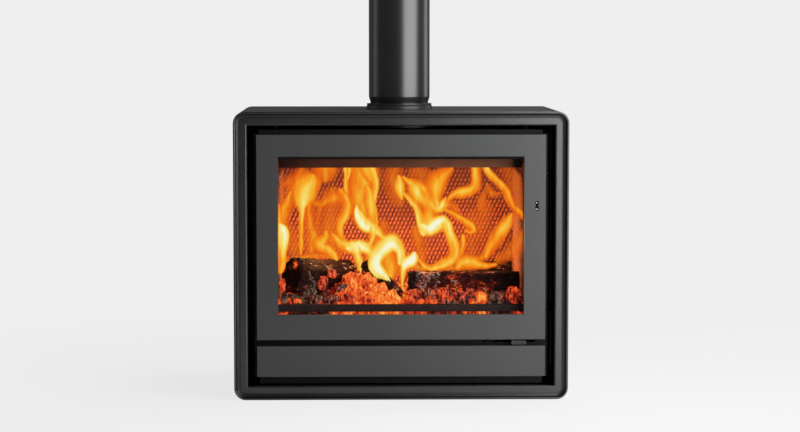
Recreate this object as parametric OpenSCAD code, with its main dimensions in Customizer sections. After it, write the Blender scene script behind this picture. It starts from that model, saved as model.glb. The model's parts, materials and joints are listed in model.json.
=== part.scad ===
// Freestanding wood stove: a folded casing with a cast front surround, a welded
// firebox behind it, a glazed door, an ash drawer, a sliding air control and a
// round flue. X runs to the right, Y to the back and Z up. The origin is on the
// floor under the middle of the casing.

/* [Casing] */
// Width over the casing
body_w = 800; // [740:10:1000]
// Height of the casing, without the flue
body_h = 690; // [650:10:850]
// Depth from the lip of the surround to the rear edge
body_d = 450; // [430:10:600]
// Radius of the long edges of the casing
corner_r = 28; // [20:1:32]
// Thickness of the folded casing sheet
casing_t = 3; // [2:0.5:4]
// Thickness of the back panel
back_t = 3; // [2:0.5:4]
// How far the back panel lies in front of the rear edge
back_inset = 5; // [4:0.5:12]
// Length of one vent slot in the back panel
vent_len = 90; // [40:5:120]
// Height of one vent slot
vent_h = 7; // [4:1:10]
// Number of vent slots in each column
vent_rows = 7; // [3:1:9]
// Thickness of the base rails' sheet
base_t = 3; // [2:0.5:4]
// Width of one base rail
base_w = 60; // [40:5:80]

/* [Front surround] */
// Depth of the cast surround from front to back
surround_d = 24; // [18:1:30]
// Width of the rounded outer lip
lip_w = 5; // [4:0.5:7]
// Height of the step inside the lip
step_h = 2; // [1:0.5:3]
// Width of the hollow between the lip and the face
cove_w = 12; // [8:0.5:12]
// How far the face lies behind the lip
face_set = 5; // [4:0.5:6]
// Width of the flat face
face_w = 13; // [10:1:20]
// Width of the bevel round the opening
bevel = 3; // [1:0.5:5]

/* [Door] */
// Gap between the opening of the surround and the door
door_gap = 22; // [18:1:30]
// How far the door's face lies behind the lip of the surround
door_recess = 8; // [5:1:12]
// Thickness of the door's front plate
fascia_t = 8; // [6:0.5:8]
// Depth of the door's rim
door_t = 26; // [22:1:28]
// Thickness of the door's rim
rim_t = 5; // [4:0.5:5]
// Width of the two upright sides of the door
stile_w = 51; // [48:1:60]
// Height of the door's top rail
top_rail = 52; // [46:1:70]
// Height of the door's bottom rail
bottom_rail = 60; // [50:1:80]
// Space between the window's edge and the seal rail
rail_gap = 8; // [8:0.5:9]
// Width of the rail that carries the rope seal
rail_w = 14; // [12:0.5:14]
// Inner corner radius of the seal rail
rail_in_r = 2; // [1:0.5:6]
// Diameter of the rope seal
rope_d = 8; // [6:0.5:8]
// Thickness of the ceramic glass
glass_t = 4; // [3:0.5:5]
// Thickness of the flat glass seal
glass_seal_t = 2; // [1:0.5:3]
// Width of one glass clip
clip_w = 16; // [12:1:24]
// Diameter of the clip screws
clip_screw = 4; // [3:0.5:5]

/* [Hinge] */
// Distance of the hinge axis from the door's left edge
hinge_in = 12; // [12:0.5:13]
// Distance of the hinge axis behind the door's face
hinge_behind = 15; // [15:0.5:16]
// Distance of each hinge lug from the door's top or bottom
hinge_end = 40; // [32:1:80]
// Diameter of the hinge pins
pin_d = 8; // [6:0.5:8]
// Outer diameter of the hinge barrels
barrel_d = 13; // [12:0.5:13]
// Length of one hinge barrel
barrel_h = 26; // [18:1:40]
// Thickness of a hinge lug
lug_t = 6; // [4:0.5:8]

/* [Latch] */
// Distance of the latch from the door's right edge
latch_in = 21; // [20:0.5:21.5]
// Distance of the latch below the door's top
latch_drop = 178; // [120:1:240]
// Diameter of the latch spindle
spindle_d = 9; // [7:0.5:9]
// Width of the keyhole's round ends
keyhole_w = 9.8; // [9.6:0.1:10.5]
// Distance between the keyhole's two round ends
keyhole_rise = 15; // [13:0.5:20]
// Width of the keyhole's waist
keyhole_waist = 5; // [3:0.5:6]
// Reach of the latch cam from its axis
cam_reach = 11; // [10:0.5:11]
// Thickness of the latch cam
cam_t = 5; // [4:0.5:6]

/* [Air control] */
// Width of the gap between the door and the lower panel
panel_gap = 15.5; // [12:0.5:18]
// Width of the knob
knob_w = 35; // [24:1:40]
// Height of the knob
knob_h = 10; // [7:0.5:11]
// Depth of the knob
knob_d = 10; // [8:0.5:12]
// Distance of the knob's middle from the door's right edge
knob_in = 63; // [60:1:90]
// Travel of the knob to the left
slide_left = 80; // [40:5:100]
// Travel of the knob to the right
slide_right = 36; // [10:1:36]
// Width of the lever behind the knob
lever_w = 8; // [6:0.5:8]
// Length of the air slide
slide_len = 246; // [200:2:260]
// Diameter of the outside air spigot
spigot_d = 100; // [80:5:100]

/* [Ash drawer] */
// Height of the lower panel
panel_h = 73.5; // [73.5:0.5:110]
// Thickness of the lower panel
panel_t = 6; // [4:0.5:8]
// Width of the ash pan
pan_w = 544; // [400:2:560]
// Height of the ash pan
pan_h = 58; // [40:1:58]
// Length of the ash pan behind the panel
pan_len = 295; // [220:5:310]
// Thickness of the ash pan's sheet
pan_t = 2; // [1:0.5:3]
// Height of the two runners
runner_h = 17.7; // [16:0.1:18]

/* [Firebox] */
// Thickness of the firebox plates
plate_t = 6; // [5:0.5:8]
// Distance from the door's face to the firebox front
plate_gap = 34; // [34:0.5:36]
// How much smaller the firebox front is than the door, at each side
front_hide = 5; // [3:0.5:6]
// Flange of the firebox front beyond its side plates
front_flange = 7; // [4:0.5:10]
// Space between the firebox and the rear edge of the casing
rear_space = 70; // [60:1:90]
// Space between the top of the opening and the firebox roof
top_space = 11; // [11:1:20]
// Space between the bottom of the opening and the firebox floor
floor_rise = 3; // [3:0.5:6]
// Thickness of the lining bricks
brick_t = 30; // [20:1:30]
// Thickness of the hearth bricks
hearth_t = 30; // [20:1:36]
// Length of the grate
grate_len = 320; // [200:10:400]
// Depth of the grate
grate_d = 150; // [100:10:180]
// Number of slots in the grate
grate_slots = 15; // [5:1:21]
// Thickness of the lower baffle
baffle_t = 20; // [12:1:25]
// How far the lower baffle lies below the window's top edge
baffle_drop = 21; // [15:1:40]
// Height of the log bar
bar_h = 18; // [12:1:20]
// Width of the strip that turns the airwash down
wash_w = 588; // [480:4:588]
// Height of that strip
wash_h = 43; // [30:1:50]

/* [Flue] */
// Outer diameter of the flue pipe
flue_d = 150; // [120:1:160]
// Wall of the flue pipe
flue_t = 1.2; // [1:0.1:2]
// Length of the pipe above the collar
flue_len = 500; // [250:10:1000]
// How far the flue's axis lies behind the middle of the casing
flue_back = 0; // [-20:1:30]
// How much the pipe's lower end is drawn in
swage = 8.5; // [6:0.5:12]
// Height over which it is drawn in
swage_h = 14; // [8:1:30]
// How deep the pipe stands in the collar
flue_seat = 48; // [30:1:50]
// Height of the collar above the casing
collar_h = 14; // [8:1:20]
// Wall of the collar's rim
rim_wall = 9.5; // [8:0.5:12]

/* [Fire bed] */
// Height of the embers over the hearth
ember_h = 52; // [40:1:56]
// Height of the heap in the middle over the other embers
heap_h = 50; // [20:2:54]
// Radius of the front left log
log_a_r = 42; // [25:1:44]
// Radius of the right log
log_b_r = 38; // [25:1:40]
// Radius of the rear log
log_c_r = 30; // [20:1:32]
// Radius of the piece that leans on the heap
log_d_r = 15; // [10:1:18]

/* [Hidden] */
$fn = 48;

// Clearances: a shaft that turns, a running gap, a seat that doesn't move, a
// pressed seat, and a free gap
turn_fit = 0.08;
run_fit = 0.3;
seat_fit = 0.2;
press_fit = 0.05;
free_gap = 1;
// A cut goes this far past the face it opens
past = 1;

// Colours as the photograph shows them
iron = [0.22, 0.22, 0.225];
steel_black = [0.17, 0.17, 0.175];
door_grey = [0.31, 0.31, 0.315];
bare_steel = [0.6, 0.6, 0.6];
brick = [0.62, 0.5, 0.36];
rope = [0.75, 0.72, 0.66];
ash_grey = [0.45, 0.42, 0.4];
bark = [0.24, 0.15, 0.1];

// Planes of the front
front_y = -body_d / 2;
back_y = body_d / 2;
face_in = lip_w + cove_w;
cove_d = face_set - step_h;
cove_r = (cove_w * cove_w + cove_d * cove_d) / (2 * cove_d);
margin = face_in + face_w + bevel;
open_x = body_w / 2 - margin;
open_z0 = margin;
open_z1 = body_h - margin;
surround_y = front_y + surround_d;

// Door and lower panel
door_x = open_x - door_gap;
door_z1 = open_z1 - door_gap;
panel_z0 = open_z0 + door_gap;
panel_z1 = panel_z0 + panel_h;
door_z0 = panel_z1 + panel_gap;
door_y = front_y + door_recess;
fascia_y = door_y + fascia_t;
rim_y = door_y + door_t;
plate_y = door_y + plate_gap;
window_x = door_x - stile_w;
window_z0 = door_z0 + bottom_rail;
window_z1 = door_z1 - top_rail;
window_zc = (window_z0 + window_z1) / 2;
window_h = window_z1 - window_z0;
rail_x = window_x + rail_gap;
rail_out = rail_x + rail_w;
rail_r = rail_in_r + rail_w;
rope_y = plate_y - run_fit - rope_d / 2;
rail_y = rope_y;
rope_floor = rope_y - rope_d / 2;
glass_y0 = fascia_y + glass_seal_t;
glass_y1 = glass_y0 + glass_t;
glass_x = rail_x - free_gap;

// Hinge
hinge_x = hinge_in - door_x;
hinge_y = door_y + hinge_behind;
lug_zs = [door_z0 + hinge_end, door_z1 - hinge_end - lug_t];
lug_out = 2;
lug_in = 9;
foot_t = 2;
foot_more = 4;
head_h = 3;

// Latch
latch_x = door_x - latch_in;
latch_z = door_z1 - latch_drop;
spindle_r = spindle_d / 2;
bush_r = spindle_r + 2.5;
bush_y = fascia_y + 8;
cam_y0 = bush_y + free_gap;
cam_y1 = cam_y0 + cam_t;
nut_y = cam_y1 + 4;
hook_t = 3;
hook_h = 12;
guide_r = 3;
hook_x1 = latch_x + cam_reach + free_gap + hook_t;
lip_y1 = cam_y0 - 2 * run_fit;

// Firebox
inner_y = plate_y + plate_t;
front_x = door_x - front_hide;
side_x = front_x - front_flange;
chamber_x = side_x - plate_t;
box_y1 = back_y - rear_space;
chamber_y1 = box_y1 - plate_t;
box_z0 = open_z0 + floor_rise;
floor_z = box_z0 + plate_t;
box_z1 = open_z1 - top_space;
roof_z = box_z1 - plate_t;
plate_z0 = open_z0 + free_gap;
plate_z1 = box_z1;
load_x = rail_x - 2;
load_z0 = window_z0 - 6;
load_z1 = window_z1 + 6;
slot_z = (panel_z1 + door_z0) / 2;
hearth_z0 = door_z0 + 6;
hearth_z1 = hearth_z0 + plate_t;
bed_z = hearth_z1 + hearth_t;
brick_x = chamber_x - brick_t;
strip_in = 27;
brick_y0 = inner_y + strip_in;
back_brick_y = chamber_y1 - brick_t;
baffle_z = window_z1 - baffle_drop;
duct_d = 40;
throat_d = 42;
throat_y = inner_y + duct_d + throat_d;
smoke_gap = 23;
smoke_way = 89;
upper_z = baffle_z + baffle_t + smoke_gap;
upper_y1 = chamber_y1 - smoke_way;
upper_t = 4;
grate_y = (inner_y + chamber_y1) / 2 - 6;

// Airwash and air control
sheet = 2;
duct_y1 = inner_y + duct_d;
duct_z0 = load_z1 + 7;
duct_t = 3;
wash_y = inner_y + strip_in;
lever_rise = 9.5;
box_floor = slot_z - lever_rise;
air_box_d = 62;
air_box_y1 = inner_y + air_box_d;
slide_t = 3;
guide_w = 7;
slide_y0 = inner_y + guide_w;
slide_y1 = air_box_y1 - sheet - guide_w;
knob_x = door_x - knob_in;
lever_h = 5;
slot_fit = 0.5;
slide_x1 = knob_x + lever_w / 2;
slide_x0 = slide_x1 - slide_len;
slot_x0 = knob_x - slide_left - lever_w / 2 - free_gap;
slot_x1 = knob_x + slide_right + lever_w / 2 + free_gap;
slit_w = 18;
slit_pitch = 36;
slit_d = 26;
slit_n = floor((slide_len - slit_pitch) / slit_pitch);
spigot_z = (floor_z + hearth_z0) / 2;
spigot_wall = 1.5;
spigot_flange = 14;
spigot_flange_t = 3;
spigot_ring = spigot_d / 2 + spigot_flange / 2;
small_r = 2;
small_head = 3.6;
riser_w = 20;
riser_d = 32;

// Ash drawer
pan_x = pan_w / 2;
pan_side = 8;
pan_under = 2;
pan_over = 5;
pan_z0 = floor_z + runner_h + run_fit;
pan_z1 = pan_z0 + pan_h;
runner_under = 14;
runner_out = 4;
guide_h = 8;
panel_y1 = door_y + panel_t;
pan_y1 = panel_y1 + pan_len;

// Flue
flue_r = flue_d / 2;
neck_r = flue_r - swage / 2;
collar_bore = neck_r + run_fit + 0.5;
collar_step = 4;
collar_z1 = body_h + collar_h;
rim_r = collar_bore + rim_wall;
collar_seat = collar_z1 - flue_seat - run_fit;
flange_r = rim_r + 15;
flange_t = 8;
bolt_ring = rim_r + 7;
bolt_r = 3;
pipe_top = collar_z1 + flue_len;

// Brackets and screws
tab_t = 3;
tab_len = 24;
tab_w = 20;
tab_hole = 9;
screw_r = 2.5;
shield_z = box_z1 + 18;
shield_y = box_y1 + 18;
panel_back = back_y - back_inset;
panel_front = panel_back - back_t;

// Fire bed
bed_y0 = inner_y + 20;
bed_y1 = back_brick_y - free_gap;
bed_x = brick_x - free_gap;
bed_top = bed_z + ember_h;
bed_slope = 50;
heap_x = -94;
heap_y = bed_y0 + 107;
heap_r = 95;

// A block between two opposite corners
module block(lo, hi) {
    translate(lo) cube(hi - lo);
}

// A piece and its twin on the other side
module both_sides() {
    children();
    mirror([1, 0, 0]) children();
}

// Work seen from the front: X right, Y up and Z towards the viewer
module seen_from_front(y, z = 0) {
    translate([0, y, z]) rotate([90, 0, 0]) children();
}

module round_rect(w, h, r) {
    square([w - 2 * r, h], center = true);
    square([w, h - 2 * r], center = true);
    for (x = [r - w / 2, w / 2 - r], y = [r - h / 2, h / 2 - r])
        translate([x, y]) circle(r);
}

// Sweep a section round a rectangle with round corners. The section's X runs
// inwards from the outline and its Y towards the viewer.
module swept_frame(w, h, r) {
    for (k = [0:3]) {
        a = k % 2 == 0 ? w / 2 : h / 2;
        b = k % 2 == 0 ? h / 2 : w / 2;
        rotate([0, 0, 90 * k]) {
            translate([a, r - b, 0]) rotate([90, 0, 180])
                linear_extrude(height = 2 * (b - r)) children();
            translate([a - r, b - r, 0]) rotate_extrude(angle = 90)
                translate([r, 0]) mirror([1, 0]) children();
        }
    }
}

// A rod along Y
module rod_y(x, z, r, y0, y1) {
    translate([x, y0, z]) rotate([-90, 0, 0]) cylinder(r = r, h = y1 - y0);
}

// A rod along X
module rod_x(y, z, r, x0, x1) {
    translate([x0, y, z]) rotate([0, 90, 0]) cylinder(r = r, h = x1 - x0);
}

// A screw with a low round head. The head's underside is at the origin and the
// shank runs along minus Z.
module screw(r, shank, head_r, head) {
    cylinder(r1 = head_r, r2 = head_r * 0.8, h = head);
    translate([0, 0, -shank]) cylinder(r = r, h = shank + head / 2);
}

module casing_wrap() {
    color(iron) difference() {
        seen_from_front(back_y, body_h / 2) linear_extrude(height = body_d - surround_d)
            difference() {
                round_rect(body_w, body_h, corner_r);
                round_rect(body_w - 2 * casing_t, body_h - 2 * casing_t, corner_r - casing_t);
            }
        translate([0, flue_back, body_h - 2 * casing_t])
            cylinder(r = rim_r + free_gap, h = 3 * casing_t);
    }
}

// Section of the surround's outer edge: a lip, a step and a hollow that runs out
// into the face
module surround_section() {
    tilt = asin(cove_w / cove_r);
    polygon(concat(
        [
            [0, -surround_d],
            [0, -lip_w / 3],
            [lip_w / 3, 0],
            [lip_w - 1, 0],
            [lip_w, -1]
        ],
        [for (i = [0:6]) let (a = tilt * (1 - i / 6))
            [face_in - cove_r * sin(a), cove_r * (1 - cos(a)) - face_set]],
        [
            [face_in + 2, -face_set],
            [face_in + 2, -surround_d]
        ]
    ));
}

// Half a section of the opening: a bevel at the face and a straight wall
module opening_section(half) {
    polygon([
        [-half - bevel - past, past - face_set],
        [half + bevel + past, past - face_set],
        [half, -bevel - face_set],
        [half, -surround_d - past],
        [-half, -surround_d - past],
        [-half, -bevel - face_set]
    ]);
}

// Places of the brackets behind the surround: turn about Y, and place along the edge
function bracket_places() = [
    [90, body_h / 4], [90, -body_h / 4],
    [-90, body_h / 4], [-90, -body_h / 4],
    [0, body_w / 4], [0, -body_w / 4],
    [180, body_w / 4], [180, -body_w / 4]
];

// Put a bracket drawn under the top edge at one of those places
module at_edge(place) {
    half = abs(place[0]) == 90 ? body_w / 2 : body_h / 2;
    translate([0, 0, body_h / 2]) rotate([0, place[0], 0])
        translate([place[1], 0, half - casing_t]) children();
}

module front_surround() {
    color(iron) difference() {
        seen_from_front(front_y, body_h / 2) difference() {
            union() {
                swept_frame(body_w, body_h, corner_r) surround_section();
                translate([0, 0, -surround_d]) linear_extrude(height = surround_d - face_set)
                    round_rect(body_w - 2 * face_in, body_h - 2 * face_in, corner_r - face_in);
            }
            intersection() {
                rotate([90, 0, 0]) linear_extrude(height = body_h, center = true)
                    opening_section(open_x);
                rotate([90, 0, 90]) linear_extrude(height = body_w, center = true)
                    opening_section(body_h / 2 - margin);
            }
        }
        for (p = bracket_places()) at_edge(p)
            rod_y(0, -tab_hole, screw_r + seat_fit, surround_y - 10, surround_y + past);
    }
}

// An angle bracket: one leg lies under the casing and the other stands behind
// the face at y, on the side that dir points to
module angle_bracket(y, dir) {
    y2 = y + dir * tab_t;
    y3 = y + dir * tab_len;
    difference() {
        union() {
            block([-tab_w / 2, min(y, y3), -tab_t], [tab_w / 2, max(y, y3), 0]);
            block([-tab_w / 2, min(y, y2), -tab_hole * 2], [tab_w / 2, max(y, y2), 0]);
        }
        rod_y(0, -tab_hole, screw_r + seat_fit, min(y, y2) - past, max(y, y2) + past);
    }
}

// One set of brackets holds the surround and the other the back panel
module casing_brackets() {
    color(steel_black) for (p = bracket_places()) at_edge(p) {
        angle_bracket(surround_y, 1);
        angle_bracket(panel_front, -1);
    }
}

module casing_screws() {
    color(bare_steel) for (p = bracket_places()) at_edge(p) translate([0, 0, -tab_hole]) {
        translate([0, surround_y + tab_t, 0]) rotate([-90, 0, 0])
            screw(screw_r, tab_t + 8, screw_r * 1.8, 2.4);
        translate([0, panel_back, 0]) rotate([-90, 0, 0])
            screw(screw_r, back_t + tab_t + 5, screw_r * 1.8, 2.4);
    }
}

module back_panel() {
    inner_w = body_w - 2 * casing_t - 2 * run_fit;
    inner_h = body_h - 2 * casing_t - 2 * run_fit;
    vent_pitch = vent_h * 2.2;
    color(steel_black) difference() {
        seen_from_front(panel_back, body_h / 2) linear_extrude(height = back_t)
            round_rect(inner_w, inner_h, corner_r - casing_t - run_fit);
        for (x = [-1, 0, 1], row = [0:vent_rows - 1], z0 = [0, 1]) {
            z = z0 == 0 ? spigot_z + spigot_d : body_h - 4 * tab_hole - vent_rows * vent_pitch;
            translate([x * vent_len * 1.6, 0, z + row * vent_pitch])
                both_sides() block([0, panel_front - past, 0], [vent_len / 2, panel_back + past, vent_h]);
        }
        rod_y(0, spigot_z, spigot_d / 2 + free_gap, panel_front - past, panel_back + past);
        for (p = bracket_places()) at_edge(p)
            rod_y(0, -tab_hole, screw_r + seat_fit, panel_front - past, panel_back + past);
    }
}

// Two folded channels that carry the firebox
module base_rails() {
    color(steel_black) both_sides() translate([side_x - base_w - 40, inner_y, casing_t]) difference() {
        cube([base_w, box_y1 - inner_y, box_z0 - casing_t]);
        translate([base_t, -past, -past])
            cube([base_w - 2 * base_t, box_y1 - inner_y + 2 * past, box_z0 - casing_t - base_t + past]);
    }
}

module firebox_front() {
    color(steel_black) difference() {
        block([-front_x, plate_y, plate_z0], [front_x, inner_y, plate_z1]);
        block([-load_x, plate_y - past, load_z0], [load_x, inner_y + past, load_z1]);
        block([-pan_x - pan_side, plate_y - past, pan_z0 - pan_under],
            [pan_x + pan_side, inner_y + past, pan_z1 + pan_over]);
        block([slot_x0, plate_y - past, slot_z - lever_h / 2 - slot_fit],
            [slot_x1, inner_y + past, slot_z + lever_h / 2 + slot_fit]);
    }
}

// Two holes in each side plate open into the air riser
module side_plate() {
    hole_y0 = inner_y + sheet + 3;
    hole_y1 = inner_y + riser_d - sheet - 1;
    hole_h = 24;
    difference() {
        block([chamber_x, inner_y, floor_z], [side_x, box_y1, roof_z]);
        for (z = [floor_z + 20, roof_z - hole_h - 8])
            block([chamber_x - past, hole_y0, z], [side_x + past, hole_y1, z + hole_h]);
    }
}

module firebox_right() {
    color(steel_black) side_plate();
}

module firebox_left() {
    color(steel_black) mirror([1, 0, 0]) side_plate();
}

module firebox_back() {
    color(steel_black) difference() {
        block([-chamber_x, chamber_y1, floor_z], [chamber_x, box_y1, roof_z]);
        rod_y(0, spigot_z, spigot_d / 2 - 2 * spigot_wall, chamber_y1 - past, box_y1 + past);
        for (a = [45:90:315]) spigot_screw_hole(a);
    }
}

module firebox_roof() {
    color(steel_black) difference() {
        block([-side_x, inner_y, roof_z], [side_x, box_y1, box_z1]);
        translate([0, flue_back, roof_z - past]) cylinder(r = collar_bore - collar_step, h = plate_t + 2 * past);
        for (a = [45:90:315]) translate([0, flue_back, 0]) rotate([0, 0, a])
            translate([bolt_ring, 0, roof_z - past]) cylinder(r = bolt_r + seat_fit, h = plate_t + 2 * past);
    }
}

module firebox_floor() {
    color(steel_black) block([-side_x, inner_y, box_z0], [side_x, box_y1, floor_z]);
}

// Places of the spacers under the roof shield and behind the firebox
spacer_x = side_x - 30;
spacer_ys = [inner_y + 40, box_y1 - 30];
spacer_zs = [hearth_z1 + 60, roof_z - 60];

module roof_heat_shield() {
    color(steel_black) difference() {
        block([-side_x, inner_y + 10, shield_z], [side_x, box_y1, shield_z + sheet]);
        translate([0, flue_back, shield_z - past]) cylinder(r = rim_r + 3, h = sheet + 2 * past);
    }
}

module rear_heat_shield() {
    color(steel_black) block([-side_x, shield_y, hearth_z1], [side_x, shield_y + sheet, roof_z]);
}

module shield_spacers() {
    color(bare_steel) both_sides() {
        for (y = spacer_ys) translate([spacer_x, y, box_z1]) cylinder(r = 6, h = shield_z - box_z1);
        for (z = spacer_zs) rod_y(spacer_x, z, 6, box_y1, shield_y);
    }
}

module hearth_plate() {
    color(steel_black) difference() {
        block([-chamber_x, inner_y, hearth_z0], [chamber_x, chamber_y1, hearth_z1]);
        block([12 - grate_len / 2, grate_y - grate_d / 2 + 12, hearth_z0 - past],
            [grate_len / 2 - 12, grate_y + grate_d / 2 - 12, hearth_z1 + past]);
    }
}

// Four bricks lie round the grate
module hearth_bricks() {
    gx = grate_len / 2 + free_gap;
    gy0 = grate_y - grate_d / 2 - free_gap;
    gy1 = grate_y + grate_d / 2 + free_gap;
    color(brick) {
        both_sides() block([gx, gy0, hearth_z1], [brick_x - 0.5, gy1, bed_z]);
        block([0.5 - brick_x, inner_y + 8, hearth_z1], [brick_x - 0.5, gy0 - 0.5, bed_z]);
        block([0.5 - brick_x, gy1 + 0.5, hearth_z1], [brick_x - 0.5, back_brick_y - 0.5, bed_z]);
    }
}

module grate() {
    pitch = (grate_len - 24) / grate_slots;
    color(iron) difference() {
        block([-grate_len / 2, grate_y - grate_d / 2, hearth_z1], [grate_len / 2, grate_y + grate_d / 2, bed_z - 6]);
        for (i = [0:grate_slots - 1])
            translate([12 - grate_len / 2 + (i + 0.25) * pitch, grate_y - grate_d / 2 + 16, hearth_z1 - past])
                cube([pitch / 2, grate_d - 32, hearth_t]);
    }
}

module side_brick() {
    block([brick_x, brick_y0, hearth_z1], [chamber_x - run_fit, chamber_y1 - run_fit, baffle_z]);
}

module right_brick() {
    color(brick) side_brick();
}

module left_brick() {
    color(brick) mirror([1, 0, 0]) side_brick();
}

module back_brick() {
    color(brick) block([run_fit - brick_x, back_brick_y, hearth_z1],
        [brick_x - run_fit, chamber_y1 - run_fit, baffle_z]);
}

module lower_baffle() {
    color(brick) block([run_fit - chamber_x, throat_y, baffle_z],
        [chamber_x - run_fit, chamber_y1 - run_fit, baffle_z + baffle_t]);
}

module upper_baffle() {
    color(steel_black) block([free_gap - chamber_x, duct_y1 + 6, upper_z],
        [chamber_x - free_gap, upper_y1, upper_z + upper_t]);
}

module baffle_rails() {
    color(steel_black) both_sides()
        block([chamber_x - 12, duct_y1 + 6, upper_z - 4], [chamber_x, upper_y1, upper_z]);
}

// A channel under the roof whose front slot blows air down the glass
module airwash_duct() {
    color(steel_black) {
        block([run_fit - chamber_x, inner_y + 8, duct_z0], [chamber_x - run_fit, duct_y1, duct_z0 + duct_t]);
        block([run_fit - chamber_x, duct_y1 - duct_t, duct_z0], [chamber_x - run_fit, duct_y1, roof_z]);
    }
}

module airwash_strip() {
    color(steel_black) {
        block([-wash_w / 2, wash_y, duct_z0 - wash_h], [wash_w / 2, wash_y + duct_t, duct_z0]);
        block([-wash_w / 2, wash_y, duct_z0 - duct_t], [wash_w / 2, duct_y1, duct_z0]);
    }
}

// Two closed ducts outside the side plates lead air up to the airwash
module air_risers() {
    color(steel_black) both_sides() difference() {
        block([side_x, inner_y, floor_z + 8], [side_x + riser_w, inner_y + riser_d, roof_z - 4]);
        block([side_x - past, inner_y + sheet, floor_z + 8 + sheet],
            [side_x + riser_w - sheet, inner_y + riser_d - sheet, roof_z - 4 - sheet]);
    }
}

bar_y = inner_y + 12;
bar_z = load_z0 + 8;
bar_d = 9;
bar_x = chamber_x - 6;

module log_bar() {
    color(iron) {
        block([-bar_x, bar_y - bar_d / 2, bar_z], [bar_x, bar_y + bar_d / 2, bar_z + bar_h - bar_d / 2]);
        rod_x(bar_y, bar_z + bar_h - bar_d / 2, bar_d / 2, -bar_x, bar_x);
    }
}

// Cups on the side plates hold the ends of the log bar
module log_bar_cups() {
    wall = 3;
    color(iron) both_sides() difference() {
        block([bar_x - 8, bar_y - bar_d / 2 - run_fit - wall, bar_z - 6],
            [chamber_x, bar_y + bar_d / 2 + run_fit + wall, bar_z + 8]);
        block([bar_x - 8 - past, bar_y - bar_d / 2 - run_fit, bar_z],
            [bar_x + free_gap, bar_y + bar_d / 2 + run_fit, bar_z + 8 + past]);
    }
}

// A row of slits in a plate, counted from the slide's left end
module slits(shift, z) {
    for (i = [0:slit_n - 1])
        translate([slide_x0 + shift + (i + 0.5) * slit_pitch, (slide_y0 + slide_y1 - slit_d) / 2, z])
            cube([slit_w, slit_d, slide_t + 2 * past]);
}

module air_box() {
    color(steel_black) difference() {
        union() {
            block([-chamber_x, inner_y, box_floor - sheet], [chamber_x, air_box_y1, box_floor]);
            block([-chamber_x, air_box_y1 - sheet, box_floor - sheet], [chamber_x, air_box_y1, hearth_z0]);
        }
        slits(0, box_floor - sheet - past);
    }
}

// Two rails with a lip that keep the slide flat on the floor of the air box
module slide_guides() {
    z1 = box_floor + run_fit + slide_t + run_fit;
    color(steel_black) {
        block([-chamber_x + free_gap, inner_y, box_floor], [chamber_x - free_gap, slide_y0 - run_fit, z1 + 2]);
        block([-chamber_x + free_gap, inner_y, z1], [chamber_x - free_gap, slide_y0 + 3, z1 + 2]);
        block([-chamber_x + free_gap, slide_y1 + run_fit, box_floor],
            [chamber_x - free_gap, air_box_y1 - sheet, z1 + 2]);
        block([-chamber_x + free_gap, slide_y1 - 3, z1], [chamber_x - free_gap, air_box_y1 - sheet, z1 + 2]);
    }
}

module air_slide_plate() {
    z0 = box_floor + run_fit;
    color(bare_steel) difference() {
        block([slide_x0, slide_y0, z0], [slide_x1, slide_y1, z0 + slide_t]);
        slits(slit_w / 2, z0 - past);
    }
}

module air_lever() {
    z0 = box_floor + run_fit + slide_t;
    color(bare_steel) {
        block([knob_x - lever_w / 2, slide_y0 + 4, z0], [knob_x + lever_w / 2, slide_y0 + 16, slot_z + lever_h / 2]);
        block([knob_x - lever_w / 2, door_y + knob_d, slot_z - lever_h / 2],
            [knob_x + lever_w / 2, slide_y0 + 16, slot_z + lever_h / 2]);
    }
}

// The knob's front is grooved for the finger
module air_knob() {
    ribs = 5;
    pitch = knob_w / (ribs + 1);
    edge = knob_h / 2;
    color(bare_steel) difference() {
        seen_from_front(door_y + knob_d, slot_z) linear_extrude(height = knob_d - 1)
            translate([knob_x, 0]) round_rect(knob_w, knob_h, edge / 2);
        for (i = [1:ribs])
            translate([knob_x - knob_w / 2 + i * pitch, door_y + 1, slot_z - knob_h])
                cylinder(r = pitch / 5, h = 2 * knob_h);
    }
}

module spigot_screw_hole(a) {
    translate([0, 0, spigot_z]) rotate([0, a, 0])
        rod_y(spigot_ring, 0, small_r + seat_fit, chamber_y1 - past, box_y1 + spigot_flange_t + past);
}

module outside_air_spigot() {
    color(steel_black) difference() {
        union() {
            rod_y(0, spigot_z, spigot_d / 2, box_y1, back_y);
            rod_y(0, spigot_z, spigot_d / 2 + spigot_flange - seat_fit, box_y1, box_y1 + spigot_flange_t);
        }
        rod_y(0, spigot_z, spigot_d / 2 - spigot_wall, box_y1 - past, back_y + past);
        for (a = [45:90:315]) spigot_screw_hole(a);
    }
}

module spigot_screws() {
    color(bare_steel) for (a = [45:90:315])
        translate([0, box_y1 + spigot_flange_t, spigot_z]) rotate([0, a, 0])
            translate([spigot_ring, 0, 0]) rotate([-90, 0, 0]) screw(small_r, plate_t + 2, small_head, 2);
}

// The collar is bolted on the roof and comes up through the casing. Its rim has a
// bead over a groove, and the pipe stands on a step inside.
module flue_collar() {
    color(iron) translate([0, flue_back, 0]) difference() {
        rotate_extrude($fn = 96) polygon([
            [collar_bore - collar_step, box_z1],
            [flange_r, box_z1],
            [flange_r, box_z1 + flange_t - 2],
            [flange_r - 2, box_z1 + flange_t],
            [rim_r - 1.5, box_z1 + flange_t],
            [rim_r - 1.5, body_h],
            [rim_r, body_h],
            [rim_r, collar_z1 - 6],
            [rim_r - 2, collar_z1 - 5],
            [rim_r - 2, collar_z1 - 3.5],
            [rim_r - 0.5, collar_z1 - 2.5],
            [rim_r - 0.5, collar_z1 - 1.5],
            [rim_r - 2, collar_z1],
            [collar_bore, collar_z1],
            [collar_bore, collar_seat],
            [collar_bore - collar_step, collar_seat]
        ]);
        for (a = [45:90:315]) rotate([0, 0, a]) translate([bolt_ring, 0, box_z1 - past])
            cylinder(r = bolt_r + seat_fit, h = flange_t + 2 * past);
    }
}

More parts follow.
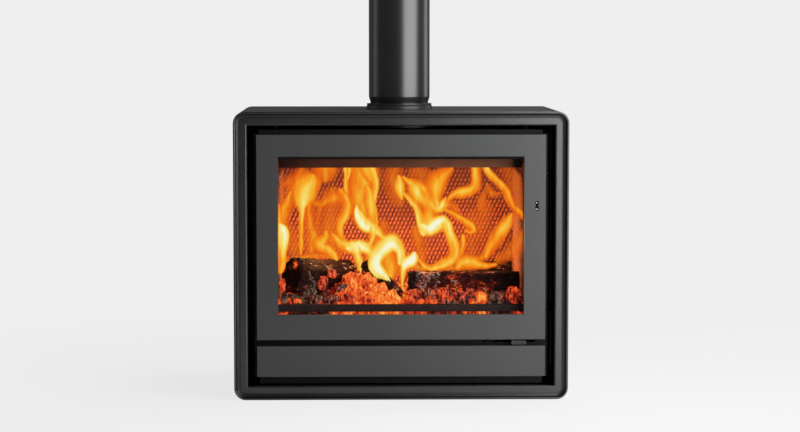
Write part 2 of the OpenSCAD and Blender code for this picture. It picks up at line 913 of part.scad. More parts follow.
module collar_bolts() {
    color(bare_steel) for (a = [45:90:315]) translate([0, flue_back, box_z1 + flange_t]) rotate([0, 0, a])
        translate([bolt_ring, 0, 0]) {
            cylinder(r = 5.5, h = 4, $fn = 6);
            translate([0, 0, -flange_t - plate_t + 1]) cylinder(r = bolt_r, h = flange_t + plate_t);
        }
}

// The lower end is drawn in so that it stands inside the collar
module flue_pipe() {
    z_swage = collar_z1 + 2;
    z0 = collar_z1 - flue_seat;
    color(iron) translate([0, flue_back, 0]) rotate_extrude($fn = 96) polygon([
        [neck_r - flue_t, z0],
        [neck_r, z0],
        [neck_r, z_swage],
        [flue_r, z_swage + swage_h],
        [flue_r, pipe_top],
        [flue_r - flue_t, pipe_top],
        [flue_r - flue_t, z_swage + swage_h + 0.3],
        [neck_r - flue_t, z_swage + 0.3]
    ]);
}

// The lower panel is the front of the ash drawer. Its upper and lower edges are
// turned back.
module lower_panel() {
    fold = 10;
    color(door_grey) difference() {
        block([-door_x, door_y, panel_z0], [door_x, panel_y1 + fold, panel_z1]);
        block([-door_x - past, panel_y1, panel_z0 + 3], [door_x + past, panel_y1 + fold + past, panel_z1 - 3]);
        panel_screw_places() translate([0, 0, -past]) cylinder(r = small_r + seat_fit, h = 10);
    }
}

// Screws go forwards through the pan's front wall into the back of the panel
module panel_screw_places() {
    both_sides() for (x = [pan_x / 3, pan_x - 40])
        translate([x, panel_y1 + pan_t, (pan_z0 + pan_z1) / 2]) rotate([-90, 0, 0])
            translate([0, 0, -pan_t - panel_t / 2]) children();
}

module ash_pan() {
    color(steel_black) difference() {
        block([-pan_x, panel_y1, pan_z0], [pan_x, pan_y1, pan_z1]);
        block([pan_t - pan_x, panel_y1 + pan_t, pan_z0 + pan_t], [pan_x - pan_t, pan_y1 - pan_t, pan_z1 + past]);
        panel_screw_places() cylinder(r = small_r + seat_fit, h = 12);
    }
}

module panel_screws() {
    color(bare_steel) panel_screw_places() {
        translate([0, 0, run_fit]) cylinder(r = small_r, h = pan_t + panel_t / 2);
        translate([0, 0, pan_t + panel_t / 2]) cylinder(r = small_head, h = 2);
    }
}

// Two angles on the firebox floor carry and guide the pan
module drawer_runners() {
    color(steel_black) both_sides() {
        block([pan_x - runner_under, inner_y, floor_z], [pan_x + runner_out, pan_y1, floor_z + runner_h]);
        block([pan_x + free_gap, inner_y, floor_z], [pan_x + runner_out, pan_y1, floor_z + runner_h + guide_h]);
    }
}

// Slots in the rim let the hinge lugs through
module lug_notch(z) {
    block([-door_x - past, fascia_y, z - head_h - free_gap],
        [rim_t + seat_fit - door_x, rim_y + past, z + lug_t + free_gap]);
}

module keyhole() {
    tall = 5;
    rod_y(latch_x, latch_z + keyhole_rise, keyhole_w / 2, door_y - past, fascia_y + past);
    rod_y(latch_x, latch_z, keyhole_w / 2, door_y - past, fascia_y + past);
    rod_y(latch_x, latch_z + tall / 2, keyhole_w / 2, door_y - past, fascia_y + past);
    block([latch_x - keyhole_waist / 2, door_y - past, latch_z],
        [latch_x + keyhole_waist / 2, fascia_y + past, latch_z + keyhole_rise]);
}

// Section of the seal rail, with a channel for half of the rope
module rail_section() {
    side = (rail_w - rope_d) / 2 - seat_fit;
    difference() {
        square([rail_w, rail_y - fascia_y]);
        translate([side, -past]) square([rope_d + 2 * seat_fit, rail_y - rope_floor + past]);
    }
}

module door_frame() {
    rail_out_h = window_h + 2 * (rail_gap + rail_w);
    color(door_grey) difference() {
        block([-door_x, door_y, door_z0], [door_x, rim_y, door_z1]);
        block([rim_t - door_x, fascia_y, door_z0 + rim_t], [door_x - rim_t, rim_y + past, door_z1 - rim_t]);
        block([-window_x, door_y - past, window_z0], [window_x, fascia_y + past, window_z1]);
        for (z = lug_zs) lug_notch(z);
        keyhole();
    }
    color(door_grey) difference() {
        seen_from_front(rail_y, window_zc) swept_frame(2 * rail_out, rail_out_h, rail_r) rail_section();
        clip_places() translate([0, 0, -past]) cylinder(r = clip_screw / 2 + seat_fit, h = rail_w / 2 + past);
    }
}

// Places of the clips round the glass. At each, Z points from the glass into
// the rail, from the rail's inner face, and Y points to the door's front.
clip_y = (glass_y1 + 2 + rail_y) / 2;

module clip_places() {
    at = [
        [rail_x, window_zc - window_h / 4, 90], [rail_x, window_zc + window_h / 4, 90],
        [-rail_x, window_zc - window_h / 4, -90], [-rail_x, window_zc + window_h / 4, -90],
        [-window_x / 2, window_z1 + rail_gap, 0], [window_x / 2, window_z1 + rail_gap, 0],
        [-window_x / 2, window_z0 - rail_gap, 180], [window_x / 2, window_z0 - rail_gap, 180]
    ];
    for (p = at) translate([p[0], clip_y, p[1]]) rotate([0, p[2], 0]) children();
}

module glass_clips() {
    foot = glass_y1 - clip_y;
    top = rail_y - clip_y - 1;
    color(bare_steel) clip_places() difference() {
        union() {
            block([-clip_w / 2, foot, -2], [clip_w / 2, top, 0]);
            block([-clip_w / 2, foot, -7], [clip_w / 2, foot + 2, 0]);
        }
        translate([0, 0, -2 - past]) cylinder(r = clip_screw / 2 + seat_fit, h = 2 + 2 * past);
    }
}

module clip_screws() {
    color(bare_steel) clip_places() translate([0, 0, -2]) rotate([180, 0, 0])
        screw(clip_screw / 2, 2 + rail_w / 2 - 1, clip_screw * 0.9, 2);
}

module door_glass() {
    color([0.25, 0.2, 0.15]) block([-glass_x, glass_y0, window_z0 - rail_gap + free_gap],
        [glass_x, glass_y1, window_z1 + rail_gap - free_gap]);
}

module glass_seal() {
    band = rail_gap - free_gap;
    color(rope) difference() {
        block([-glass_x, fascia_y, window_z0 - band], [glass_x, glass_y0, window_z1 + band]);
        block([-window_x, fascia_y - past, window_z0], [window_x, glass_y0 + past, window_z1]);
    }
}

module door_seal() {
    mid = rail_gap + rail_w / 2 + rope_d / 2;
    color(rope) seen_from_front(rope_y, window_zc)
        swept_frame(2 * (window_x + mid), window_h + 2 * mid, rail_r - rail_w / 2 + rope_d / 2)
            translate([rope_d / 2, 0]) circle(rope_d / 2);
}

// Barrels on the door drop over the pins
module hinge_barrels() {
    r = barrel_d / 2;
    color(bare_steel) for (z = lug_zs) translate([hinge_x, 0, z + lug_t + run_fit]) difference() {
        union() {
            translate([0, hinge_y, 0]) cylinder(r = r, h = barrel_h);
            block([-r, fascia_y, 0], [r, hinge_y, barrel_h]);
        }
        translate([0, hinge_y, -past]) cylinder(r = pin_d / 2 + turn_fit, h = barrel_h + 2 * past);
    }
}

// Lugs reach forwards from the firebox front. They keep to the inner side of the
// axis, so that the door's edge can pass behind them.
module hinge_lugs() {
    color(bare_steel) for (z = lug_zs) translate([hinge_x, 0, z]) difference() {
        union() {
            translate([0, hinge_y, 0]) cylinder(r = barrel_d / 2, h = lug_t);
            block([-lug_out, hinge_y, 0], [lug_in, plate_y, lug_t]);
            block([-lug_out, plate_y - foot_t, -foot_more], [lug_in, plate_y, lug_t + foot_more]);
        }
        translate([0, hinge_y, -past]) cylinder(r = pin_d / 2 + seat_fit, h = lug_t + 2 * past);
    }
}

module hinge_pins() {
    color(bare_steel) for (z = lug_zs) translate([hinge_x, hinge_y, z]) {
        translate([0, 0, -head_h]) cylinder(r = pin_d / 2 + 1.5, h = head_h);
        translate([0, 0, -head_h]) cylinder(r = pin_d / 2, h = head_h + lug_t + barrel_h - 2);
    }
}

// The bush carries the spindle, and a guide pin that shows in the keyhole's upper end
module latch_bush() {
    ear_r = keyhole_w / 2 - free_gap;
    ear_y = fascia_y + tab_t;
    guide_z = latch_z + keyhole_rise;
    color(bare_steel) difference() {
        union() {
            rod_y(latch_x, latch_z, bush_r, fascia_y, bush_y);
            block([latch_x - ear_r, fascia_y, latch_z], [latch_x + ear_r, ear_y, guide_z]);
            rod_y(latch_x, guide_z, ear_r, fascia_y, ear_y);
            rod_y(latch_x, guide_z, guide_r, door_y + fascia_t / 2, ear_y);
        }
        rod_y(latch_x, latch_z, spindle_r + turn_fit, fascia_y - past, bush_y + past);
    }
}

// The spindle's front end shows in the keyhole and has a slot for the tool
module latch_spindle() {
    color(bare_steel) difference() {
        rod_y(latch_x, latch_z, spindle_r, door_y + 4, nut_y + 1);
        block([latch_x - 1, door_y, latch_z - spindle_r], [latch_x + 1, door_y + 7, latch_z + spindle_r]);
    }
}

// The cam points up when the door is free and turns to the right to lock it
module latch_cam() {
    color(bare_steel) difference() {
        union() {
            rod_y(latch_x, latch_z, bush_r, cam_y0, cam_y1);
            block([latch_x - 4, cam_y0, latch_z], [latch_x + 4, cam_y1, latch_z + cam_reach]);
        }
        rod_y(latch_x, latch_z, spindle_r + press_fit, cam_y0 - past, cam_y1 + past);
    }
}

module latch_nut() {
    color(bare_steel) difference() {
        translate([latch_x, cam_y1, latch_z]) rotate([-90, 0, 0])
            cylinder(r = bush_r - 0.5, h = nut_y - cam_y1, $fn = 6);
        rod_y(latch_x, latch_z, spindle_r + press_fit, cam_y1 - past, nut_y + past);
    }
}

// A hook on the firebox front holds the cam
module latch_keeper() {
    lip_x0 = latch_x + bush_r + 1.5;
    color(bare_steel) {
        block([latch_x + 2, plate_y - hook_t, latch_z - 14], [hook_x1, plate_y, latch_z + 14]);
        block([hook_x1 - hook_t, lip_y1 - 4, latch_z - hook_h / 2], [hook_x1, plate_y, latch_z + hook_h / 2]);
        block([lip_x0, lip_y1 - 4, latch_z - hook_h / 2], [hook_x1, lip_y1, latch_z + hook_h / 2]);
    }
}

// Outline of a split log: round with a few flats
module log_outline(r, seed) {
    polygon([for (i = [0:15]) let (
        a = i * 22.5,
        k = 1 - 0.06 * (1 + sin(a * 3 + seed)) - 0.04 * (1 + sin(a * 5 + 2 * seed))
    ) [r * k * cos(a), r * k * sin(a)]]);
}

// A log that starts at a point and runs in a direction in plan, with a rise
module log_piece(start, turn, rise, len, r, seed) {
    translate(start) rotate([0, 0, turn]) rotate([0, 90 - rise, 0])
        linear_extrude(height = len) log_outline(r, seed);
}

// The left log, the right one, the rear one and the piece that leans on the heap
module log_set() {
    log_piece([30 - brick_x, bed_y0 + bed_slope, bed_top + log_a_r - 8], 42, 2, 190, log_a_r, 20);
    log_piece([24, bed_y0 + 70, bed_top + log_b_r - 14], -2, 0, brick_x - 42, log_b_r, 75);
    log_piece([50, bed_y1 - log_c_r - 2, bed_top + log_c_r - 6], 0, 3, brick_x - 62, log_c_r, 140);
    log_piece([heap_x + 19, heap_y + 25, bed_top + heap_h + 2], -48, -30, 120, log_d_r, 30);
}

// A bed of embers with a heap in the middle, and the logs bedded in them
module ember_bed() {
    color(ash_grey) difference() {
        union() {
            translate([-bed_x, 0, 0]) rotate([90, 0, 90]) linear_extrude(height = 2 * bed_x) polygon([
                [bed_y0, bed_z],
                [bed_y1, bed_z],
                [bed_y1, bed_top],
                [bed_y0 + bed_slope, bed_top],
                [bed_y0 + 6, bed_z + ember_h * 0.75]
            ]);
            translate([heap_x, heap_y, bed_top - past])
                cylinder(r1 = heap_r, r2 = heap_r / 3, h = heap_h + past);
        }
        log_set();
    }
}

module logs() {
    color(bark) log_set();
}

casing_wrap();
front_surround();
back_panel();
casing_brackets();
casing_screws();
base_rails();
firebox_front();
firebox_left();
firebox_right();
firebox_back();
firebox_roof();
firebox_floor();
roof_heat_shield();
rear_heat_shield();
shield_spacers();
hearth_plate();
hearth_bricks();
grate();
left_brick();
right_brick();
back_brick();
lower_baffle();
upper_baffle();
baffle_rails();
airwash_duct();
airwash_strip();
air_risers();
log_bar();
log_bar_cups();
air_box();
slide_guides();
air_slide_plate();
air_lever();
air_knob();
outside_air_spigot();
spigot_screws();
flue_collar();
collar_bolts();
flue_pipe();
lower_panel();
ash_pan();
panel_screws();
drawer_runners();
door_frame();
door_glass();
glass_seal();
glass_clips();
clip_screws();
door_seal();
hinge_barrels();
hinge_lugs();
hinge_pins();
latch_bush();
latch_spindle();
latch_cam();
latch_nut();
latch_keeper();
ember_bed();
logs();
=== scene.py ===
import json
import math

import bmesh
import bpy
import numpy as np
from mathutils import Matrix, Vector, noise

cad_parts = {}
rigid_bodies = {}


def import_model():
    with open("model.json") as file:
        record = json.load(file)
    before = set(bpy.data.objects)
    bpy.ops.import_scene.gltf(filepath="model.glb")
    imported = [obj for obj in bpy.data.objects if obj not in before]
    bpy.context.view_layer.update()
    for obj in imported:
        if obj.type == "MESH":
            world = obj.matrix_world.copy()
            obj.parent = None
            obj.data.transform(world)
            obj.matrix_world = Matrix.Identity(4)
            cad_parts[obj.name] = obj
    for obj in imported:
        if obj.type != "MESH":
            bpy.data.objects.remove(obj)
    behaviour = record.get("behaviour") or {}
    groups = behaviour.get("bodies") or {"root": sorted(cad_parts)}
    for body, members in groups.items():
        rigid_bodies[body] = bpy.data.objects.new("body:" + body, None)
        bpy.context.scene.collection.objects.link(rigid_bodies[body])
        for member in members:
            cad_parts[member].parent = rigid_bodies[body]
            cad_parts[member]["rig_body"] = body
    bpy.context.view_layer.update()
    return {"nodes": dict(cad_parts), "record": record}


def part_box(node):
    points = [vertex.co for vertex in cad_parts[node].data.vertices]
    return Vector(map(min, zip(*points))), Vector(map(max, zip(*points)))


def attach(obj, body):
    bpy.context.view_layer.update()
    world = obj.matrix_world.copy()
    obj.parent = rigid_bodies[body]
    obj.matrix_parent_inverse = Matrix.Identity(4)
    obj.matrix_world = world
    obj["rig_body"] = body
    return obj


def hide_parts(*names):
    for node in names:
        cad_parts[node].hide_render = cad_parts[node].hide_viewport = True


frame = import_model()
scene = bpy.context.scene
mm = 0.001
slotOf = {part["node"]: part["material_slot"] for part in frame["record"]["subparts"]}
print("frame loaded with", len(frame["nodes"]), "nodes")


# Node trees written as sums

class Wire:
    # one output of a node, used like a number
    def __init__(self, board, socket):
        self.board = board
        self.socket = socket

    def join(self, operation, first, second):
        return self.board.put("ShaderNodeMath", {"operation": operation}, {0: first, 1: second})

    def __add__(self, other):
        return self.join("ADD", self, other)

    def __radd__(self, other):
        return self.join("ADD", other, self)

    def __sub__(self, other):
        return self.join("SUBTRACT", self, other)

    def __rsub__(self, other):
        return self.join("SUBTRACT", other, self)

    def __mul__(self, other):
        return self.join("MULTIPLY", self, other)

    def __rmul__(self, other):
        return self.join("MULTIPLY", other, self)

    def __truediv__(self, other):
        return self.join("DIVIDE", self, other)

    def __pow__(self, other):
        return self.join("POWER", self, other)


class Board:
    # a node tree that nodes are put on
    def __init__(self, tree):
        self.tree = tree
        tree.nodes.clear()

    def put(self, kind, settings, values, out=0):
        node = self.tree.nodes.new(kind)
        for key, value in settings.items():
            if key == "stops":
                self.fillRamp(node.color_ramp, value)
            else:
                setattr(node, key, value)
        for key, value in values.items():
            if isinstance(value, Wire):
                self.tree.links.new(value.socket, node.inputs[key])
            else:
                node.inputs[key].default_value = value
        return Wire(self, node.outputs[out]) if node.outputs else None

    def fillRamp(self, ramp, stops):
        while len(ramp.elements) < len(stops):
            ramp.elements.new(1.0)
        for element, (place, colour) in zip(ramp.elements, stops):
            element.position = place
            element.color = colour

    def objectSpot(self):
        return self.put("ShaderNodeTexCoord", {}, {}, "Object")

    def axes(self, vector):
        node = self.tree.nodes.new("ShaderNodeSeparateXYZ")
        self.tree.links.new(vector.socket, node.inputs[0])
        return [Wire(self, socket) for socket in node.outputs]

    def noise(self, spot, scale, detail=3.0, rough=0.5):
        values = {"Vector": spot, "Scale": scale, "Detail": detail, "Roughness": rough}
        return self.put("ShaderNodeTexNoise", {}, values)

    def cells(self, spot, scale, feature="F1"):
        return self.put("ShaderNodeTexVoronoi", {"feature": feature}, {"Vector": spot, "Scale": scale})

    def stretch(self, spot, scale):
        return self.put("ShaderNodeVectorMath", {"operation": "MULTIPLY"}, {0: spot, 1: scale})

    def spread(self, value, low, high, newLow=0.0, newHigh=1.0):
        values = {0: value, 1: low, 2: high, 3: newLow, 4: newHigh}
        return self.put("ShaderNodeMapRange", {"clamp": True}, values)

    def ramp(self, value, stops):
        return self.put("ShaderNodeValToRGB", {"stops": stops}, {0: value})

    def blend(self, share, first, second):
        return self.put("ShaderNodeMix", {"data_type": "RGBA"}, {0: share, 6: first, 7: second}, 2)

    def bump(self, height, distance):
        return self.put("ShaderNodeBump", {}, {"Height": height, "Distance": distance, "Strength": 1.0})

    def surface(self, values):
        shader = self.put("ShaderNodeBsdfPrincipled", {}, values)
        self.put("ShaderNodeOutputMaterial", {}, {0: shader})

    def matte(self, look, colour, height, more):
        # a surface that takes its roughness, gloss and relief from the look
        self.surface({
            "Base Color": colour,
            "Roughness": look["rough"],
            "Specular IOR Level": look["gloss"],
            "Normal": self.bump(height, look["relief"]),
            **more,
        })


def seen(red, green, blue):
    # a colour as a screen shows it, from 0 to 255, made linear
    linear = []
    for level in (red, green, blue):
        share = level / 255
        linear.append(share / 12.92 if share < 0.04045 else ((share + 0.055) / 1.055) ** 2.4)
    return (*linear, 1.0)


def newMaterial(name):
    material = bpy.data.materials.new(name)
    material.use_nodes = True
    return material, Board(material.node_tree)


# Finishes

def paintedMetal(name, look):
    # stove paint: soft clouds in the colour, pale flecks and a fine grain with pits
    material, board = newMaterial(name)
    spot = board.objectSpot()
    clouds = board.noise(spot, look["cloudScale"], 4.0)
    grain = board.noise(spot, look["grainScale"], 2.0, 0.6)
    pits = board.cells(spot, look["pitScale"])
    colour = board.blend(board.spread(clouds, *grains["clouds"]), look["dark"], look["light"])
    fleck = board.spread(grain, *grains["flecks"]) * look["fleck"]
    colour = board.blend(fleck, colour, look["fleckColour"])
    rough = look["rough"] + (clouds - 0.5) * look["roughSwing"]
    height = grain * look["grainShare"] + board.spread(pits, *grains["pits"]) * (1 - look["grainShare"])
    rugged = board.bump(height, look["relief"])
    shader = board.put("ShaderNodeBsdfPrincipled", {}, {
        "Base Color": colour,
        "Roughness": rough,
        "Metallic": 0.0,
        "Specular IOR Level": look["gloss"],
        "Normal": rugged,
    })
    if "dull" in look:
        # painted shade: a black, dull coat is mixed in over the hollow, as much as the hollow mark gives
        hollow = board.put("ShaderNodeAttribute", {"attribute_name": "hollow"}, {}, 2)
        thick = board.put("ShaderNodeBsdfPrincipled", {}, {
            "Base Color": look["dull"],
            "Roughness": grains["dullRough"],
            "Specular IOR Level": grains["dullGloss"],
            "Normal": rugged,
        })
        shader = board.put("ShaderNodeMixShader", {}, {0: hollow, 1: shader, 2: thick})
    board.put("ShaderNodeOutputMaterial", {}, {0: shader})
    return material


# what all paints share: the parts of each noise that show, and the roughness and gloss of the painted shade
# in a hollow
grains = {
    "clouds": (0.3, 0.7), "flecks": (0.62, 0.74), "pits": (0.0, 0.6), "dullRough": 0.9, "dullGloss": 0.05,
}
paints = {
    "casing_paint": {
        "dark": seen(64, 64, 65), "light": seen(72, 72, 73),
        "fleckColour": seen(100, 100, 100), "fleck": 0.3,
        "cloudScale": 9.0, "grainScale": 900.0, "pitScale": 520.0, "grainShare": 0.5,
        "rough": 0.46, "roughSwing": 0.1, "gloss": 0.4, "relief": 0.00012,
    },
    "cast_surround": {
        "dark": seen(13, 13, 14), "light": seen(19, 19, 20), "fleckColour": seen(80, 80, 80), "fleck": 0.4,
        "cloudScale": 14.0, "grainScale": 700.0, "pitScale": 380.0, "grainShare": 0.55,
        # the last colour is the black of the painted shade in the hollow
        "rough": 0.3, "roughSwing": 0.07, "gloss": 1.0, "relief": 0.00025, "dull": seen(9, 9, 9),
    },
    "door_paint": {
        "dark": seen(54, 55, 56), "light": seen(58, 59, 60), "fleckColour": seen(80, 80, 81), "fleck": 0.1,
        "cloudScale": 5.0, "grainScale": 1500.0, "pitScale": 900.0, "grainShare": 0.6,
        "rough": 0.42, "roughSwing": 0.05, "gloss": 0.5, "relief": 0.00004,
    },
    "black_steel": {
        "dark": seen(13, 13, 14), "light": seen(19, 19, 20), "fleckColour": seen(48, 48, 48), "fleck": 0.2,
        "cloudScale": 12.0, "grainScale": 800.0, "pitScale": 500.0, "grainShare": 0.6,
        "rough": 0.55, "roughSwing": 0.12, "gloss": 0.2, "relief": 0.00008,
    },
    "flue_enamel": {
        "dark": seen(17, 17, 18), "light": seen(22, 22, 23), "fleckColour": seen(50, 50, 50), "fleck": 0.2,
        "cloudScale": 10.0, "grainScale": 1100.0, "pitScale": 700.0, "grainShare": 0.6,
        "rough": 0.29, "roughSwing": 0.05, "gloss": 0.9, "relief": 0.00004,
    },
    "cast_collar": {
        "dark": seen(32, 32, 33), "light": seen(42, 42, 43),
        "fleckColour": seen(100, 100, 100), "fleck": 0.35,
        "cloudScale": 20.0, "grainScale": 800.0, "pitScale": 420.0, "grainShare": 0.5,
        "rough": 0.34, "roughSwing": 0.1, "gloss": 0.6, "relief": 0.0002,
    },
    "cast_grate": {
        "dark": seen(26, 11, 9), "light": seen(42, 20, 17), "fleckColour": seen(84, 56, 48), "fleck": 0.3,
        "cloudScale": 30.0, "grainScale": 500.0, "pitScale": 260.0, "grainShare": 0.5,
        "rough": 0.7, "roughSwing": 0.15, "gloss": 0.3, "relief": 0.0004,
    },
}


def bareMetal(name, look):
    # brushed or plated steel with fine lines and slight stains. What shows in the keyhole is coloured black
    # in front of a set depth, except two round spots left bright
    material, board = newMaterial(name)
    spot = board.objectSpot()
    lines = board.noise(board.stretch(spot, look["lines"]), brushing["scale"], 3.0, 0.7)
    stains = board.noise(spot, look["stainScale"], 5.0)
    swing = (lines - 0.5) * brushing["lineRough"] + (stains - 0.5) * brushing["stainRough"]
    colour = board.blend(board.spread(stains, *brushing["stains"]), look["light"], look["dark"])
    if "worn" in look:
        black = board.spread(board.axes(spot)[1], *look["blackFrom"], 1.0, 0.0)
        for place, radius in look["worn"]:
            apart = board.put("ShaderNodeVectorMath", {"operation": "DISTANCE"}, {0: spot, 1: place}, 1)
            black = black * board.spread(apart, radius, radius + brushing["wornEdge"])
        colour = board.blend(black, colour, look["black"])
    board.surface({
        "Base Color": colour,
        "Roughness": look["rough"] + swing,
        "Metallic": look["metal"],
        "Normal": board.bump(lines, look["relief"]),
    })
    return material


# what all bare metals share
brushing = {"scale": 60.0, "stains": (0.35, 0.75), "lineRough": 0.25, "stainRough": 0.2, "wornEdge": 0.0006}
metals = {
    "bright_steel": {
        "light": seen(170, 168, 165), "dark": seen(120, 116, 110), "lines": (1.0, 12.0, 12.0),
        "stainScale": 40.0, "rough": 0.36, "metal": 1.0, "relief": 0.00003,
        "black": seen(13, 13, 13), "blackFrom": (-0.2085, -0.2075),
        "worn": (((0.324, -0.213, 0.4565), 0.0026), ((0.324, -0.213, 0.472), 0.0016)),
    },
    "zinc_screws": {
        "light": seen(165, 166, 170), "dark": seen(120, 120, 118), "lines": (8.0, 8.0, 8.0),
        "stainScale": 90.0, "rough": 0.38, "metal": 1.0, "relief": 0.00002,
    },
    "knob_steel": {
        "light": seen(74, 74, 74), "dark": seen(52, 52, 52), "lines": (14.0, 14.0, 1.0),
        "stainScale": 60.0, "rough": 0.42, "metal": 0.8, "relief": 0.00004,
    },
    "galvanised_sheet": {
        "light": seen(158, 161, 164), "dark": seen(118, 122, 126), "lines": (2.0, 2.0, 2.0),
        "stainScale": 26.0, "rough": 0.45, "metal": 0.9, "relief": 0.00003,
    },
}


def hotSteel(name, look):
    # black plate that the fire has turned brown in patches, with painted light making it lighter from left
    # to right and a painted shadow over its right end
    material, board = newMaterial(name)
    spot = board.objectSpot()
    patches = board.noise(spot, look["patchScale"], 6.0, 0.6)
    fine = board.noise(spot, look["fineScale"], 3.0)
    x = board.axes(spot)[0]
    # painted light: the plate grows lighter from left to right; the patches are rust
    rusty = patches * look["patchShare"] + board.spread(x, *look["across"]) * look["acrossShare"]
    colour = board.blend(board.spread(rusty, *look["rusty"]), look["brown"], look["rust"])
    colour = board.blend(board.spread(fine, *look["sooty"]) * look["sootShare"], colour, look["soot"])
    # painted shadow over the right end
    colour = board.blend(board.spread(x, *look["shaded"]) * look["shade"], colour, look["black"])
    board.matte(look, colour, fine, {"Roughness": look["rough"] + (patches - 0.5) * look["roughSwing"]})
    return material


# across is where painted light brightens the plate from left to right, and shaded is the right end darkened
# as a painted shadow of the riser
hotPlate = {
    "brown": seen(52, 17, 5), "rust": seen(126, 78, 54), "soot": seen(24, 14, 10),
    "black": (0.001, 0.001, 0.001, 1.0), "patchScale": 16.0, "patchShare": 0.6, "fineScale": 220.0,
    "across": (-0.28, 0.26), "acrossShare": 0.7, "rusty": (0.2, 1.0), "sooty": (0.6, 0.75), "sootShare": 0.5,
    "shaded": (0.268, 0.274), "shade": 0.95,
    "rough": 0.6, "roughSwing": 0.3, "gloss": 0.12, "relief": 0.0001,
}


def brickFinish(name, look):
    # pressed lining board: painted light on the lozenge tops and painted shade in the grooves between them,
    # soot in stains and darker towards the top, and a painted glow of firelight that is brightest on the
    # tops
    material, board = newMaterial(name)
    spot = board.objectSpot()
    high = board.axes(spot)[2]
    tip = board.put("ShaderNodeAttribute", {"attribute_name": "tip"}, {}, 2)
    grit = board.noise(spot, pressing["gritScale"], 4.0, 0.7)
    stain = board.noise(spot, pressing["stainScale"], 5.0, 0.6)
    # painted light and shade: paler on the lozenge tops, darker in the grooves
    raised = board.spread(tip + (grit - 0.5) * pressing["grit"], *pressing["raised"])
    colour = board.blend(raised, look["deep"], look["pale"])
    # darker towards the top and in stains
    upward = board.spread(high, *pressing["upward"]) * pressing["upwardShare"]
    soot = board.spread(stain + upward, *pressing["soot"])
    colour = board.blend(soot * pressing["sootShare"], colour, look["soot"])
    # painted firelight: the lining glows though it is no lamp, more on the tops and in patches
    warm = board.spread(raised * pressing["glowTops"] + (stain - 0.5) * pressing["glowStains"], 0.0, 1.0)
    glow = board.blend(warm, look["glowDeep"], look["glowBright"])
    board.matte(pressing, colour, grit, {"Emission Color": glow, "Emission Strength": look["glow"]})
    return material


# what both linings share
pressing = {
    "gritScale": 240.0, "grit": 0.9, "raised": (0.05, 0.8), "stainScale": 11.0,
    "upward": (0.3, 0.6), "upwardShare": 0.3, "soot": (0.5, 0.8), "sootShare": 0.7,
    "glowTops": 0.75, "glowStains": 1.1, "rough": 0.9, "gloss": 0.15, "relief": 0.0006,
}
bricks = {
    "fire_brick": {
        "pale": seen(150, 88, 60), "deep": seen(52, 24, 16), "soot": seen(50, 24, 17),
        "glowDeep": seen(76, 20, 8), "glowBright": seen(226, 116, 66), "glow": 0.5,
    },
    "back_lining": {
        "pale": seen(166, 98, 70), "deep": seen(104, 52, 36), "soot": seen(84, 42, 30),
        "glowDeep": seen(120, 42, 18), "glowBright": seen(190, 88, 50), "glow": 0.5,
    },
}


def glassFinish(name, look):
    # clear ceramic glass: a faint amber body, soot towards the corners and a dark line under the top seal
    material, board = newMaterial(name)
    spot = board.objectSpot()
    x, _, z = board.axes(spot)
    film = board.noise(spot, look["filmScale"], 4.0)
    corner = ((x / look["halfWidth"]) ** 2.0) * (((z - look["middle"]) / look["halfHeight"]) ** 2.0)
    sooty = board.spread(corner, *look["corners"]) * film * look["film"]
    board.surface({
        "Base Color": look["tint"],
        "Roughness": look["rough"] + film * look["roughSwing"],
        "Alpha": board.spread(look["body"] + sooty + board.spread(z, *look["rim"]), 0.0, 1.0),
        "Specular IOR Level": 0.5,
        "IOR": look["bend"],
    })
    return material


clearGlass = {
    "tint": seen(14, 10, 9), "body": 0.04, "film": 0.25, "filmScale": 12.0, "corners": (0.35, 1.3),
    "rim": (0.5755, 0.578), "rough": 0.04, "roughSwing": 0.05, "bend": 1.5,
    "halfWidth": 0.301, "halfHeight": 0.197, "middle": 0.3935,
}


def ropeFinish(name, look):
    # knitted glass fibre
    material, board = newMaterial(name)
    spot = board.objectSpot()
    knit = board.cells(spot, look["knit"])
    fuzz = board.noise(spot, look["fuzz"], 3.0)
    colour = board.blend(board.spread(knit, *look["gaps"]), look["light"], look["dark"])
    board.matte(look, colour, knit + fuzz * look["fuzzShare"], {})
    return material


ropeLook = {
    "light": seen(120, 116, 108), "dark": seen(70, 66, 62), "knit": 420.0, "gaps": (0.1, 0.6),
    "fuzz": 700.0, "fuzzShare": 0.3, "rough": 0.95, "gloss": 0.1, "relief": 0.0006,
}


def emberFinish(name, look):
    # each ember has its own heat: ash on the cool ones, a glow from dark red to yellow on the hot ones
    material, board = newMaterial(name)
    spot = board.objectSpot()
    heat = board.put("ShaderNodeAttribute", {"attribute_name": "warmth"}, {}, 2)
    veins = board.noise(board.stretch(spot, look["veinShape"]), look["veinScale"], 4.0, 0.7)
    flakes = board.noise(spot, look["flakeScale"], 3.0, 0.7)
    blotch = board.noise(spot, look["blotchScale"], 3.0, 0.6)
    total = heat + (veins - 0.5) * look["veins"] + (flakes - 0.5) * look["flakes"]
    total = board.spread(total + (blotch - 0.5) * look["blotches"], 0.0, 1.0)
    glow = board.ramp(total, look["glow"])
    broken = veins * look["ashVeins"] + flakes * look["ashFlakes"]
    pale = board.spread(broken, *look["ashy"]) * board.spread(heat, *look["cool"])
    colour = board.blend(pale, look["char"], look["ash"])
    shine = {"Emission Color": glow, "Emission Strength": 1.0}
    board.matte(look, colour, veins + flakes * look["flakeBump"], shine)
    return material


